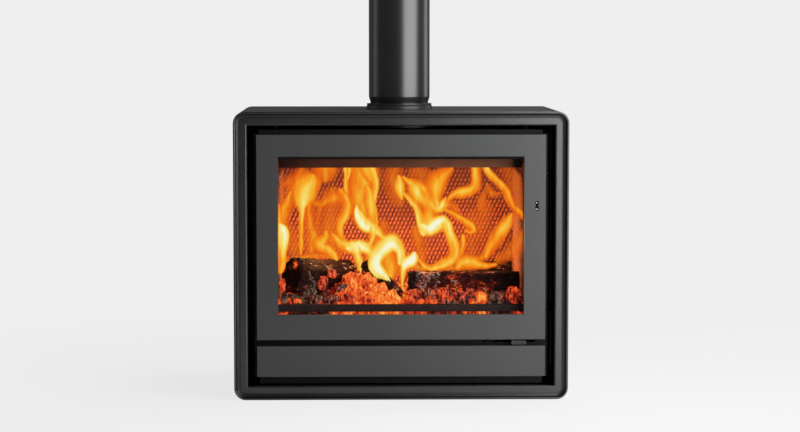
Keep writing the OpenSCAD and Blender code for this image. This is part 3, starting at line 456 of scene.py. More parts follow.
# cool gives how much ash a piece carries: from which warmth to which, and from what share to what
emberLook = {
    "veinScale": 120.0, "veinShape": (1.5, 1.5, 0.5), "flakeScale": 380.0, "blotchScale": 45.0,
    "veins": 1.3, "flakes": 0.35, "blotches": 0.8,
    "ashVeins": 0.7, "ashFlakes": 0.3, "ashy": (0.46, 0.64), "cool": (0.2, 0.6, 0.8, 0.12),
    "rough": 0.92, "gloss": 0.15, "flakeBump": 0.4, "relief": 0.0008,
    "char": seen(30, 17, 14), "ash": seen(200, 160, 134),
    "glow": [
        (0.0, seen(0, 0, 0)), (0.26, seen(12, 2, 2)), (0.42, seen(96, 12, 6)), (0.55, seen(196, 48, 20)),
        (0.68, seen(236, 88, 30)), (0.84, seen(250, 122, 40)), (1.0, seen(255, 184, 80)),
    ],
}


def charFinish(name, look):
    # charred bark broken into blocks, white ash on some of them and a red glow between them underneath
    material, board = newMaterial(name)
    spot = board.objectSpot()
    x, _, high = board.axes(spot)
    blocks = board.cells(board.stretch(spot, look["blockShape"]), look["blocks"], "DISTANCE_TO_EDGE")
    grain = board.noise(board.stretch(spot, look["grainShape"]), look["grainScale"], 5.0, 0.65)
    patch = board.noise(spot, look["patchScale"], 4.0, 0.6)
    flake = board.noise(board.stretch(spot, look["flakeShape"]), look["flakeScale"], 3.0, 0.65)
    colour = board.blend(board.spread(grain, *look["barky"]), look["char"], look["bark"])
    zone = board.spread(x, *look["ashFrom"]) * board.spread(x, *look["ashTo"], 1.0, 0.0)
    ash = board.spread(patch + zone * look["ashZone"], *look["ashPatch"])
    ash = ash * board.spread(flake, *look["ashFlake"]) * board.spread(blocks, *look["ashEdge"])
    colour = board.blend(ash * look["ashShare"], colour, look["ash"])
    crack = board.spread(blocks, 0.0, look["crackWide"], 1.0, 0.0)
    low = board.spread(high, look["glowTop"], look["glowBottom"], 0.0, 1.0) * look["redLow"]
    kindled = board.spread(x, *look["redFrom"]) * board.spread(x, *look["redTo"], 1.0, 0.0) * look["redZone"]
    red = board.spread(patch + low + kindled + (grain - 0.5) * look["redGrain"], *look["redPatch"])
    apart = board.put("ShaderNodeVectorMath", {"operation": "DISTANCE"}, {0: spot, 1: look["hotSpot"]}, 1)
    hot = board.spread(apart + (flake - 0.5) * look["hotRagged"], *look["hotWide"], 1.0, 0.0)
    glow = board.ramp(board.spread(red * (look["redFaces"] + crack) + hot, 0.0, 1.0), look["glow"])
    height = grain + board.spread(blocks, 0.0, look["blockEdge"])
    board.matte(look, colour, height, {"Emission Color": glow, "Emission Strength": 1.0})
    return material


# the From and To pairs are stretches from left to right in metres, over which a zone fades in and out
charLook = {
    "char": seen(15, 8, 6), "bark": seen(54, 19, 10), "ash": seen(204, 176, 158),
    "blocks": 62.0, "blockShape": (1.0, 1.5, 1.5), "blockEdge": 0.12, "crackWide": 0.07,
    "grainScale": 90.0, "grainShape": (1.0, 5.0, 5.0), "barky": (0.4, 0.75), "patchScale": 34.0,
    "flakeScale": 140.0, "flakeShape": (0.7, 1.0, 1.5),
    "ashFrom": (0.03, 0.045), "ashTo": (0.095, 0.12), "ashZone": 0.16, "ashPatch": (0.6, 0.68),
    "ashFlake": (0.46, 0.56), "ashEdge": (0.02, 0.1), "ashShare": 0.8,
    "redFrom": (0.03, 0.06), "redTo": (0.2, 0.25), "redZone": 0.2, "redPatch": (0.6, 0.95),
    "redGrain": 0.5, "redFaces": 0.42, "redLow": 0.3, "glowTop": 0.275, "glowBottom": 0.21,
    "hotSpot": (-0.257, -0.122, 0.316), "hotWide": (0.004, 0.014), "hotRagged": 0.012,
    "rough": 0.92, "gloss": 0.12, "relief": 0.0016,
    "glow": [
        (0.0, seen(0, 0, 0)), (0.35, seen(70, 10, 5)), (0.65, seen(190, 44, 14)), (1.0, seen(255, 124, 40)),
    ],
}


def flameFinish(name, look):
    # the sheet carries its own warmth and cover, and fine strands are drawn along the flames
    material, board = newMaterial(name)
    spot = board.objectSpot()
    warmth = board.put("ShaderNodeAttribute", {"attribute_name": "warmth"}, {}, 2)
    cover = board.put("ShaderNodeAttribute", {"attribute_name": "cover"}, {}, 2)
    bend = board.noise(spot, look["bend"], 2.0)
    drift = board.put("ShaderNodeCombineXYZ", {}, {0: (bend - 0.5) * look["bendShare"]})
    moved = board.put("ShaderNodeVectorMath", {"operation": "ADD"}, {0: spot, 1: drift})
    strands = board.noise(board.stretch(moved, look["strandShape"]), look["strands"], 4.0, 0.6)
    total = warmth + (strands - 0.5) * look["swing"]
    broken = cover * (1 + (strands - 0.5) * look["breaks"])
    board.surface({
        "Base Color": (0.0, 0.0, 0.0, 1.0),
        "Roughness": 1.0,
        "Specular IOR Level": 0.0,
        "Emission Color": board.ramp(board.spread(total, 0.0, 1.0), look["glow"]),
        "Emission Strength": 1.0,
        "Alpha": board.spread(broken, 0.0, 1.0, 0.0, look["thickest"]),
    })
    return material


flameLook = {
    "bend": 18.0, "bendShare": 0.02, "strands": 90.0, "strandShape": (1.0, 0.3, 0.22),
    "swing": 0.28, "breaks": 0.7, "thickest": 0.97,
    "glow": [
        (0.0, seen(150, 44, 10)), (0.22, seen(224, 84, 16)), (0.38, seen(246, 116, 20)),
        (0.5, seen(253, 150, 30)), (0.62, seen(255, 182, 48)), (0.75, seen(255, 215, 90)),
        (0.88, seen(255, 240, 140)), (1.0, seen(255, 253, 222)),
    ],
}

finishes = {}
for slotName, look in paints.items():
    finishes[slotName] = paintedMetal(slotName, look)
for slotName, look in metals.items():
    finishes[slotName] = bareMetal(slotName, look)
for slotName, look in bricks.items():
    finishes[slotName] = brickFinish(slotName, look)
finishes["hot_steel"] = hotSteel("hot_steel", hotPlate)
finishes["ceramic_glass"] = glassFinish("ceramic_glass", clearGlass)
finishes["seal_rope"] = ropeFinish("seal_rope", ropeLook)
finishes["embers"] = emberFinish("embers", emberLook)
finishes["charred_wood"] = charFinish("charred_wood", charLook)
flames = flameFinish("flames", flameLook)
print("finishes made")


# Making pieces

def newPiece(name, mesh, material):
    piece = bpy.data.objects.new(name, mesh)
    scene.collection.objects.link(piece)
    mesh.materials.clear()
    mesh.materials.append(material)
    return piece


def fromBmesh(name, work, material, smooth=True):
    bmesh.ops.recalc_face_normals(work, faces=work.faces)
    mesh = bpy.data.meshes.new(name)
    work.to_mesh(mesh)
    work.free()
    piece = newPiece(name, mesh, material)
    for face in mesh.polygons:
        face.use_smooth = smooth
    return piece


def settle(piece):
    # turns the live modifiers into plain mesh
    graph = bpy.context.evaluated_depsgraph_get()
    mesh = bpy.data.meshes.new_from_object(piece.evaluated_get(graph), preserve_all_data_layers=True,
                                           depsgraph=graph)
    piece.modifiers.clear()
    piece.data = mesh
    return piece


# how a CAD piece is cleaned before its edges are rounded: distance in metres, angles in degrees
cleaning = {"merge": 0.00001, "flat": 0.8, "sharp": 40, "sharpRounded": 60, "steps": 2, "weight": 60}


def evenShading(piece):
    weighted = piece.modifiers.new("evenShading", "WEIGHTED_NORMAL")
    weighted.keep_sharp = True
    weighted.weight = cleaning["weight"]
    return settle(piece)


def standFor(piece, body, slotName, *nodes):
    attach(piece, body)
    if nodes:
        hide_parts(*nodes)
    return piece


def camel(node):
    first, *rest = node.split("_")
    return first + "".join(word.capitalize() for word in rest)


def dressed(node, edge):
    # a merged copy of a CAD piece with its sharp edges rounded
    source = frame["nodes"][node]
    work = bmesh.new()
    work.from_mesh(source.data)
    bmesh.ops.remove_doubles(work, verts=work.verts, dist=cleaning["merge"])
    flat = math.radians(cleaning["flat"])
    bmesh.ops.dissolve_limit(work, angle_limit=flat, verts=work.verts, edges=work.edges)
    mesh = bpy.data.meshes.new(camel(node))
    work.to_mesh(mesh)
    work.free()
    if "custom_normal" in mesh.attributes:
        mesh.attributes.remove(mesh.attributes["custom_normal"])
    slotName = slotOf[node]
    piece = newPiece(camel(node), mesh, finishes[slotName])
    for face in mesh.polygons:
        face.use_smooth = True
    mesh.set_sharp_from_angle(angle=math.radians(cleaning["sharp"]))
    bevel = piece.modifiers.new("edge", "BEVEL")
    bevel.width = edge * mm
    bevel.segments = cleaning["steps"]
    bevel.limit_method = "ANGLE"
    bevel.angle_limit = math.radians(cleaning["sharp"])
    settle(piece)
    piece.data.set_sharp_from_angle(angle=math.radians(cleaning["sharpRounded"]))
    evenShading(piece)
    return standFor(piece, source["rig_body"], slotName, node)


def softened(outline, radius, steps=3):
    # rounds each corner of a closed outline
    made = []
    for i, point in enumerate(outline):
        here = Vector(point)
        before = Vector(outline[i - 1]) - here
        after = Vector(outline[(i + 1) % len(outline)]) - here
        reach = min(radius, 0.45 * before.length, 0.45 * after.length)
        start = here + before.normalized() * reach
        end = here + after.normalized() * reach
        for k in range(steps + 1):
            t = k / steps
            made.append(start * (1 - t) ** 2 + here * (2 * t * (1 - t)) + end * t ** 2)
    return made


def skin(work, rings):
    # quads between rings of equal length, closed both ways
    loops = [[work.verts.new(point) for point in ring] for ring in rings]
    for i, ring in enumerate(loops):
        following = loops[(i + 1) % len(loops)]
        for k in range(len(ring)):
            after = (k + 1) % len(ring)
            work.faces.new((ring[k], ring[after], following[after], following[k]))


def turned(name, section, centre, material, around=144):
    # a closed section of (radius, height) spun about an upright axis
    rings = []
    for radius, height in section:
        ring = []
        for k in range(around):
            angle = 2 * math.pi * k / around
            ring.append(centre + Vector((radius * math.cos(angle), radius * math.sin(angle), height)))
        rings.append(ring)
    work = bmesh.new()
    skin(work, rings)
    piece = fromBmesh(name, work, material)
    return evenShading(piece)


# Front surround: the section is swept round the front, from the outer lip to the opening

# sizes in millimetres; the last stops give how much painted shade lies across the hollow, from the lip to
# the face
surround = {
    "lip": 5.0, "step": 2.0, "cove": 12.0, "faceSet": 5.0, "face": 13.0, "bevel": 3.0,
    "round": 0.7, "coveSteps": 6, "corner": 28.0, "innerCorner": 0.3, "cornerSteps": 10,
    "dull": [(0.0, 1.0), (0.17, 0.9), (0.35, 0.55), (0.85, 0.5), (1.0, 0.0)],
}


def roundedRing(halfWide, halfHigh, radius, y, middle, steps):
    ring = []
    for quarter in range(4):
        sx = 1 if quarter in (0, 3) else -1
        sz = 1 if quarter in (0, 1) else -1
        for k in range(steps + 1):
            angle = math.radians(90 * quarter + 90 * k / steps)
            x = sx * (halfWide - radius) + radius * math.cos(angle)
            z = middle + sz * (halfHigh - radius) + radius * math.sin(angle)
            ring.append(Vector((x, y, z)))
    return ring


def markHollowShade(piece, look, low, high):
    # how much painted shade each point gets, by its place across the hollow between the lip and the face
    across, shadeShares = zip(*look["dull"])
    marks = piece.data.attributes.new("hollow", "FLOAT", "POINT")
    for vertex, mark in zip(piece.data.vertices, marks.data):
        side = abs(vertex.co.x) / mm - (high.x / mm - look["corner"])
        rise = abs(vertex.co.z - (high.z + low.z) / 2) / mm - ((high.z - low.z) / 2 / mm - look["corner"])
        inset = look["corner"] - math.hypot(max(side, 0), max(rise, 0)) - min(max(side, rise), 0)
        place = (inset - look["lip"]) / look["cove"]
        mark.value = float(np.interp(place, across, shadeShares)) if place > -0.01 else 0.0


def makeSurround(look):
    low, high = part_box("front_surround")
    deep = (high.y - low.y) / mm
    lip, cove, faceSet = look["lip"], look["cove"], look["faceSet"]
    faceIn = lip + cove
    margin = faceIn + look["face"] + look["bevel"]
    rise = faceSet - look["step"]
    radius = (cove ** 2 + rise ** 2) / (2 * rise)
    hollow = []
    for i in range(look["coveSteps"] + 1):
        angle = math.asin(cove / radius) * (1 - i / look["coveSteps"])
        hollow.append((faceIn - radius * math.sin(angle), faceSet - radius * (1 - math.cos(angle))))
    outline = [(0, deep), (0, lip / 3), (lip / 3, 0), (lip - 1, 0), (lip, 1), *hollow,
               (faceIn + look["face"], faceSet), (margin, faceSet + look["bevel"]), (margin, deep)]
    rings = []
    for inset, back in softened(outline, look["round"]):
        if inset <= faceIn:
            corner = look["corner"] - inset
        else:
            share = min(1.0, (inset - faceIn) / look["face"])
            corner = (look["corner"] - faceIn) * (1 - share) + look["innerCorner"]
        rings.append(roundedRing(
            high.x - inset * mm, (high.z - low.z) / 2 - inset * mm, corner * mm,
            low.y + back * mm, (high.z + low.z) / 2, look["cornerSteps"]))
    work = bmesh.new()
    skin(work, rings)
    piece = fromBmesh("frontSurround", work, finishes["cast_surround"])
    # marks where shade is painted into the hollow
    markHollowShade(piece, look, low, high)
    evenShading(piece)
    return standFor(piece, "stove", "cast_surround", "front_surround")


makeSurround(surround)
print("surround made")


# Flue: the pipe is drawn in where it enters the collar

flue = {"wall": 1.2, "drawnIn": 4.25, "neckAbove": 2.0, "swage": 14.0, "round": 1.6}


def makeFlue(look):
    low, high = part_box("flue_pipe")
    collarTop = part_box("flue_collar")[1].z
    radius = (high.x - low.x) / 2 / mm
    neck = radius - look["drawnIn"]
    middle = Vector(((low.x + high.x) / 2, (low.y + high.y) / 2, 0))
    start = collarTop / mm + look["neckAbove"]
    wall = look["wall"]
    outside = [
        (neck, low.z / mm), (neck, start - 1.0), (neck + 0.3, start + 1.0),
        (radius - 0.5, start + look["swage"] - 1.5), (radius, start + look["swage"] + 1.0),
        (radius, high.z / mm),
    ]
    inside = [(r - wall, z) for r, z in reversed(outside)]
    section = [(r * mm, z * mm) for r, z in softened(outside + inside, look["round"])]
    piece = turned("fluePipe", section, middle, finishes["flue_enamel"])
    return standFor(piece, "stove", "flue_enamel", "flue_pipe")


makeFlue(flue)

collar = {
    "rimWall": 9.5, "flange": 15.0, "flangeHigh": 8.0, "ledge": 4, "seatGap": 0.3, "round": 0.8,
    "rim": [(0, 6), (2, 5), (2, 3.5), (0.5, 2.5), (0.5, 1.5), (2, 0)],
}


def makeCollar(look):
    low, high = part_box("flue_collar")
    top = high.z / mm
    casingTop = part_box("casing_wrap")[1].z / mm
    flange = (high.x - low.x) / 2 / mm
    rim = flange - look["flange"]
    bore = rim - look["rimWall"]
    base = low.z / mm
    shelf = base + look["flangeHigh"]
    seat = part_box("flue_pipe")[0].z / mm - look["seatGap"]
    ledge = bore - look["ledge"]
    outline = [(ledge, base), (flange, base), (flange, shelf - 2), (flange - 2, shelf), (rim - 1.5, shelf)]
    outline += [(rim - 1.5, casingTop), (rim, casingTop)]
    # the bead and the groove under the rim, by their distances from the rim's side and top
    outline += [(rim - inward, top - down) for inward, down in look["rim"]]
    outline += [(bore, top), (bore, seat), (ledge, seat)]
    section = [(r * mm, z * mm) for r, z in softened(outline, look["round"], 2)]
    middle = Vector(((low.x + high.x) / 2, (low.y + high.y) / 2, 0))
    piece = turned("flueCollar", section, middle, finishes["cast_collar"])
    return standFor(piece, "stove", "cast_collar", "flue_collar")


makeCollar(collar)
print("flue made")


# CAD pieces that show, with rounded edges in millimetres

edges = {
    "casing_wrap": 0.6, "back_panel": 0.4, "base_rails": 0.4, "firebox_front": 0.5, "door_frame": 0.9,
    "lower_panel": 0.9, "air_knob": 0.5, "door_glass": 0.3, "airwash_strip": 0.5, "log_bar": 0.8,
    "log_bar_cups": 0.5, "outside_air_spigot": 0.3, "left_brick": 1.5, "right_brick": 1.5, "back_brick": 1.5,
    "hearth_bricks": 1.5, "grate": 1.0, "glass_clips": 0.3, "hinge_barrels": 0.4, "hinge_lugs": 0.5,
    "hinge_pins": 0.4, "latch_bush": 0.3, "latch_spindle": 0.3, "latch_cam": 0.4, "latch_nut": 0.3,
    "latch_keeper": 0.4, "ash_pan": 0.3, "drawer_runners": 0.3, "lower_baffle": 1.5, "air_lever": 0.3,
    "casing_brackets": 0.3, "roof_heat_shield": 0.3,
}
for node, edge in edges.items():
    dressed(node, edge)
print("edges rounded on", len(edges), "pieces")

for node, thing in frame["nodes"].items():
    for place in thing.material_slots:
        place.material = finishes[slotOf[node]]


# Geometry node trees

def newTree(name, inputs):
    tree = bpy.data.node_groups.new(name, "GeometryNodeTree")
    tree.interface.new_socket("Geometry", in_out="INPUT", socket_type="NodeSocketGeometry")
    for label, value in inputs.items():
        kind = "NodeSocketInt" if isinstance(value, int) else "NodeSocketFloat"
        tree.interface.new_socket(label, in_out="INPUT", socket_type=kind).default_value = value
    tree.interface.new_socket("Geometry", in_out="OUTPUT", socket_type="NodeSocketGeometry")
    board = Board(tree)
    entry = tree.nodes.new("NodeGroupInput")
    return board, {socket.name: Wire(board, socket) for socket in entry.outputs}


def closeTree(board, geometry, material):
    real = board.put("GeometryNodeRealizeInstances", {}, {0: geometry})
    painted = board.put("GeometryNodeSetMaterial", {}, {0: real, "Material": material})
    board.put("NodeGroupOutput", {}, {0: painted})


def grow(piece, board, values):
    # runs the tree on the piece and keeps the result as plain mesh
    modifier = piece.modifiers.new("grow", "NODES")
    modifier.node_group = board.tree
    for item in board.tree.interface.items_tree:
        if item.in_out == "INPUT" and item.name in values:
            modifier[item.identifier] = values[item.name]
    return settle(piece)


# Linings: rows of raised lozenges on the back and on both sides

# pitches and height in millimetres, lean in radians; share is how much of its pitch a lozenge fills
backRelief = {"pitchX": 10.0, "pitchZ": 22.0, "high": 3.0, "lean": 0.3, "share": 0.92, "top": 0.22}
sideRelief = {"pitchX": 28.0, "pitchZ": 24.0, "high": 4.0, "lean": 0.5, "share": 0.9, "top": 0.22}


def makeRelief(name, node, face, slotName, look):
    # face is the way that the lining looks: 0 to the front, 1 to the right, -1 to the left
    low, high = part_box(node)
    stepX, stepZ = look["pitchX"] * mm, look["pitchZ"] * mm
    sizes = {
        "Pitch X": stepX * look["share"], "Pitch Z": stepZ * look["share"], "Height": look["high"] * mm * 2,
        "Lean": look["lean"], "Turn": face * math.radians(90),
    }
    board, given = newTree(name, sizes)
    shape = board.put("GeometryNodeMeshCone", {"fill_type": "NGON"}, {
        "Vertices": 4, "Side Segments": 1, "Radius Top": look["top"], "Radius Bottom": 0.5, "Depth": 1.0})
    tip = board.put("ShaderNodeSeparateXYZ", {}, {0: board.put("GeometryNodeInputPosition", {}, {})}, 2)
    shape = board.put("GeometryNodeStoreNamedAttribute", {"data_type": "FLOAT", "domain": "POINT"}, {
        "Geometry": shape, "Name": "tip", "Value": tip})
    size = board.put("ShaderNodeCombineXYZ", {}, {
        0: given["Pitch X"], 1: given["Pitch Z"], 2: given["Height"]})
    shape = board.put("GeometryNodeTransform", {}, {"Geometry": shape, "Scale": size})
    lean = board.put("ShaderNodeCombineXYZ", {}, {1: given["Lean"]})
    turn = board.put("ShaderNodeCombineXYZ", {}, {2: given["Turn"]})
    for rotation in ((math.radians(90), 0.0, 0.0), lean, turn):
        shape = board.put("GeometryNodeTransform", {}, {"Geometry": shape, "Rotation": rotation})
    many = board.put("GeometryNodeInstanceOnPoints", {}, {"Points": given["Geometry"], "Instance": shape})
    closeTree(board, many, finishes[slotName])
    mesh = bpy.data.meshes.new(name)
    wide = high.y - low.y if face else high.x - low.x
    points = []
    rows = int((high.z - low.z - stepZ) / (stepZ / 2))
    columns = int((wide - stepX) / stepX)
    for row in range(rows):
        for column in range(columns - row % 2):
            along = (column - (columns - 1) / 2 + (row % 2) / 2) * stepX
            z = low.z + stepZ / 2 + row * stepZ / 2
            if face:
                points.append((high.x if face > 0 else low.x, (low.y + high.y) / 2 + along, z))
            else:
                points.append((along, low.y, z))
    mesh.from_pydata(points, [], [])
    piece = newPiece(name, mesh, finishes[slotName])
    grow(piece, board, sizes)
    return standFor(piece, "stove", slotName)


makeRelief("backRelief", "back_brick", 0, "back_lining", backRelief)
makeRelief("leftRelief", "left_brick", 1, "fire_brick", sideRelief)
makeRelief("rightRelief", "right_brick", -1, "fire_brick", sideRelief)
print("linings made")


# Embers: a bed with a heap in its middle, and broken pieces of two sizes scattered over both

embers = {
    "deep": 52.0, "sunk": 7.0, "front": 50.0, "frontShare": 0.75,
    "heapX": -94.0, "heapY": 107.0, "heapWide": 95.0, "heapTop": 32.0,
    "columns": 148, "rows": 68, "swell": 6.0, "swellScale": 26, "inset": 4.0,
    "warmthSwing": 0.22, "warmthScale": 22, "own": 0.2, "seed": 7, "bite": 0.012, "biteScale": 130.0,
    # warmth across the bed, from left to right in metres
    "warmth": [
        (-0.296, 0.36), (-0.262, 0.36), (-0.240, 0.28), (-0.222, 0.24), (-0.205, 0.24), (-0.168, 0.30),
        (-0.150, 0.56), (-0.110, 0.66), (-0.040, 0.76), (0.000, 0.78), (0.030, 0.50), (0.100, 0.46),
        (0.165, 0.52), (0.186, 0.64), (0.204, 0.58), (0.216, 0.12), (0.256, 0.10), (0.268, 0.50),
        (0.296, 0.46),
    ],
    # height of the ridge in front of the right log, from left to right
    "ridge": [
        (-0.01, 0.0), (0.02, 20.0), (0.19, 22.0), (0.215, 8.0), (0.25, 8.0), (0.27, 20.0), (0.296, 18.0),
    ],
    "ridgeFrom": 8.0, "ridgeWide": 34.0,
    # cube is the block that the pieces are cut from and flattest their least height, as shares of their
    # length; tilt is how far they lean from upright, in radians
    "cube": 1.3, "flattest": 0.45,
    "crumbs": {"Density": 4000.0, "Small": 0.0022, "Large": 0.0050, "Long": 1.5, "Detail": 2, "Tilt": 3.0},
    "lumps": {"Density": 2000.0, "Small": 0.007, "Large": 0.014, "Long": 1.2, "Detail": 4, "Tilt": 3.0},
    "shards": {"Density": 3600.0, "Small": 0.0045, "Large": 0.0085, "Long": 2.6, "Detail": 4, "Tilt": 0.6},
    # how boxy and how rough the single coals are: scale and share of the coarse and the fine bites
    "boxy": 0.45, "rough": [(1.6, 0.36), (4.4, 0.26)], "apart": (3.1, 1.7, 0.0),
    # single coals: place and half sizes in millimetres, lean in degrees, warmth
    "coals": [
        (-203, -141, 233, 16, 10, 10, 8, 0.30), (-169, -142, 233, 18, 10, 9, -12, 0.34),
        (232, -138, 238, 21, 14, 13, -8, 0.30), (198, -144, 236, 10, 9, 11, 10, 0.86),
        (-268, -140, 242, 20, 10, 5, 6, 0.30), (-250, -146, 230, 9, 7, 5, 4, 0.66),
        (-287, -122, 268, 7, 8, 15, 0, 0.56),
        (-281, -147, 232, 8, 6, 10, 12, 0.02), (-221, -100, 268, 17, 12, 18, 0, 0.08),
        (-231, -112, 303, 7, 5, 27, -31, 0.32),
        (-222, -112, 244, 17, 9, 12, -16, 0.06), (-166, -86, 290, 12, 11, 10, 10, 0.47),
        (-189, -100, 268, 11, 9, 17, 14, 0.47), (-145, -120, 258, 15, 8, 7, -26, 0.34),
        (-118, -112, 272, 12, 8, 22, -18, 0.72), (-84, -116, 263, 9, 8, 15, -24, 0.62),
        (-50, -122, 256, 17, 9, 12, -30, 0.76), (30, -140, 246, 13, 8, 10, 0, 0.54),
        (64, -142, 248, 12, 8, 9, 0, 0.30), (104, -143, 250, 13, 9, 11, 0, 0.54),
        (142, -143, 246, 12, 8, 9, 0, 0.44), (272, -142, 248, 15, 9, 13, -20, 0.50),
        (-20, -138, 242, 14, 9, 12, -20, 0.80),
        (170, -141, 250, 10, 7, 8, 20, 0.50),
    ],
}


def between(stops, x):
    # the value at x on a line drawn from stop to stop
    return float(np.interp(x, *zip(*stops)))


def emberWarmth(x, y, look):
    spot = Vector((x * look["warmthScale"], y * look["warmthScale"], 3.0))
    return between(look["warmth"], x) + noise.noise(spot) * look["warmthSwing"]


def emberHeight(x, y, low, high, look):
    # in millimetres over the bottom of the bed
    behind = (y - low.y) / mm
    lift = min(1.0, look["frontShare"] + (1 - look["frontShare"]) * behind / look["front"])
    apart = math.hypot(x / mm - look["heapX"], behind - look["heapY"])
    share = (look["heapWide"] - apart) / (look["heapWide"] - look["heapTop"])
    heap = ((high.z - low.z) / mm - look["deep"]) * max(0.0, min(1.0, share))
    rough = noise.noise(Vector((x * look["swellScale"], y * look["swellScale"], 0.0))) * look["swell"]
    place = (behind - look["ridgeFrom"]) / look["ridgeWide"]
    ridge = between(look["ridge"], x) * math.sin(math.pi * max(0.0, min(1.0, place)))
    return look["deep"] * lift + heap + ridge + rough - look["sunk"]


def scatterPieces(board, given, label, look):
    # broken pieces of one size on the bed, each with its own warmth
    kind, own, cube = look[label], look["own"], look["cube"]
    detail, long, tilt = kind["Detail"], kind["Long"], kind["Tilt"]
    scatter = board.tree.nodes.new("GeometryNodeDistributePointsOnFaces")
    board.tree.links.new(given["Geometry"].socket, scatter.inputs["Mesh"])
    board.tree.links.new(given[label + " Density"].socket, scatter.inputs["Density"])
    board.tree.links.new(given["Seed"].socket, scatter.inputs["Seed"])
    points = Wire(board, scatter.outputs["Points"])
    base = board.put("GeometryNodeInputNamedAttribute", {"data_type": "FLOAT"}, {"Name": "warmth"})
    swing = board.put("FunctionNodeRandomValue", {}, {2: -own, 3: own, "Seed": 14 + detail}, 1)
    points = board.put("GeometryNodeStoreNamedAttribute", {"data_type": "FLOAT", "domain": "POINT"}, {
        "Geometry": points, "Name": "warmth", "Value": base + swing})
    turn = board.put("FunctionNodeRandomValue", {"data_type": "FLOAT_VECTOR"}, {
        0: (-tilt, math.pi / 2 - tilt, -math.pi), 1: (tilt, math.pi / 2 + tilt, math.pi),
        "Seed": 11 + detail})
    length = board.put("FunctionNodeRandomValue", {}, {
        2: given[label + " Small"], 3: given[label + " Large"], "Seed": 12 + detail}, 1)
    flat = board.put("FunctionNodeRandomValue", {}, {2: look["flattest"], 3: 1.0, "Seed": 13 + detail}, 1)
    size = board.put("ShaderNodeCombineXYZ", {}, {0: length * long, 1: length, 2: length * flat})
    chunk = board.put("GeometryNodeMeshCube", {}, {
        "Size": (cube, cube, cube), "Vertices X": detail, "Vertices Y": detail, "Vertices Z": detail})
    many = board.put("GeometryNodeInstanceOnPoints", {}, {
        "Points": points, "Instance": chunk, "Rotation": turn, "Scale": size})
    return board.put("GeometryNodeRealizeInstances", {}, {0: many})


def emberShell(low, high, look):
    # the bed's closed base: an uneven top, upright sides and a flat bottom
    work = bmesh.new()
    warmthLayer = work.verts.layers.float.new("warmth")
    columns, rows, inset = look["columns"], look["rows"], look["inset"] * mm

    def corner(i, k, z=None):
        x = low.x + inset + (high.x - low.x - 2 * inset) * i / columns
        y = low.y + inset + (high.y - low.y - 2 * inset) * k / rows
        if z is None:
            z = low.z + emberHeight(x, y, low, high, look) * mm
        vert = work.verts.new((x, y, z))
        vert[warmthLayer] = emberWarmth(x, y, look)
        return vert
    grid = [[corner(i, k) for k in range(rows + 1)] for i in range(columns + 1)]
    for i in range(columns):
        for k in range(rows):
            work.faces.new((grid[i][k], grid[i + 1][k], grid[i + 1][k + 1], grid[i][k + 1]))
    rim = [(i, 0) for i in range(columns)] + [(columns, k) for k in range(rows)]
    rim += [(i, rows) for i in range(columns, 0, -1)] + [(0, k) for k in range(rows, 0, -1)]
    under = [corner(i, k, low.z) for i, k in rim]
    for place, (i, k) in enumerate(rim):
        after = (place + 1) % len(rim)
        nextI, nextK = rim[after]
        work.faces.new((grid[i][k], under[place], under[after], grid[nextI][nextK]))
    work.faces.new(list(reversed(under)))
    return work


def makeEmbers(look):
    low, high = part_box("ember_bed")
    piece = fromBmesh("emberBed", emberShell(low, high, look), finishes["embers"], smooth=False)
    sizes = {"Seed": look["seed"], "Bite": look["bite"]}
    kinds = ("crumbs", "lumps", "shards")
    for label in kinds:
        for part in ("Density", "Small", "Large"):
            sizes[label + " " + part] = look[label][part]
    board, given = newTree("embers", sizes)
    joined = board.tree.nodes.new("GeometryNodeJoinGeometry")
    for label in kinds:
        broken = scatterPieces(board, given, label, look)
        board.tree.links.new(broken.socket, joined.inputs[0])
    spot = board.put("GeometryNodeInputPosition", {}, {})
    bite = board.put("ShaderNodeTexNoise", {}, {
        "Vector": spot, "Scale": look["biteScale"], "Detail": 3.0}, "Color")
    push = board.put("ShaderNodeVectorMath", {"operation": "SUBTRACT"}, {0: bite, 1: (0.5, 0.5, 0.5)})
    push = board.put("ShaderNodeVectorMath", {"operation": "SCALE"}, {0: push, "Scale": given["Bite"]})
    broken = Wire(board, joined.outputs[0])
    jagged = board.put("GeometryNodeSetPosition", {}, {"Geometry": broken, "Offset": push})
    whole = board.tree.nodes.new("GeometryNodeJoinGeometry")
    for part in (jagged, given["Geometry"]):
        board.tree.links.new(part.socket, whole.inputs[0])
    closeTree(board, Wire(board, whole.outputs[0]), finishes["embers"])
    grow(piece, board, sizes)
    return standFor(piece, "stove", "embers", "ember_bed")


def makeCoals(look):
    # large coals, each a lump with flats and bites
    work = bmesh.new()
    warmthLayer = work.verts.layers.float.new("warmth")
    for number, (x, y, z, wide, deep, high, lean, warmth) in enumerate(look["coals"]):
        made = bmesh.ops.create_icosphere(work, subdivisions=4, radius=1.0)["verts"]
        turn = math.radians(lean)
        for vert in made:
            spot = vert.co.copy()
            box = max(abs(spot.x), abs(spot.y), abs(spot.z))
            spot = spot.lerp(spot / box, look["boxy"])
            away = Vector([part * number for part in look["apart"]])
            spot *= sum((noise.noise(vert.co * scale + away) * share for scale, share in look["rough"]), 1.0)
            spot = Vector((spot.x * wide, spot.y * deep, spot.z * high))
            across = spot.x * math.cos(turn) + spot.z * math.sin(turn)
            rise = spot.z * math.cos(turn) - spot.x * math.sin(turn)
            vert.co = Vector((x + across, y + spot.y, z + rise)) * mm
            vert[warmthLayer] = warmth
    piece = fromBmesh("coals", work, finishes["embers"])
    return standFor(piece, "stove", "embers")


makeEmbers(embers)
makeCoals(embers)
print("embers made")


# Logs: split billets with rounded corners, charred into blocks with deep cracks between them

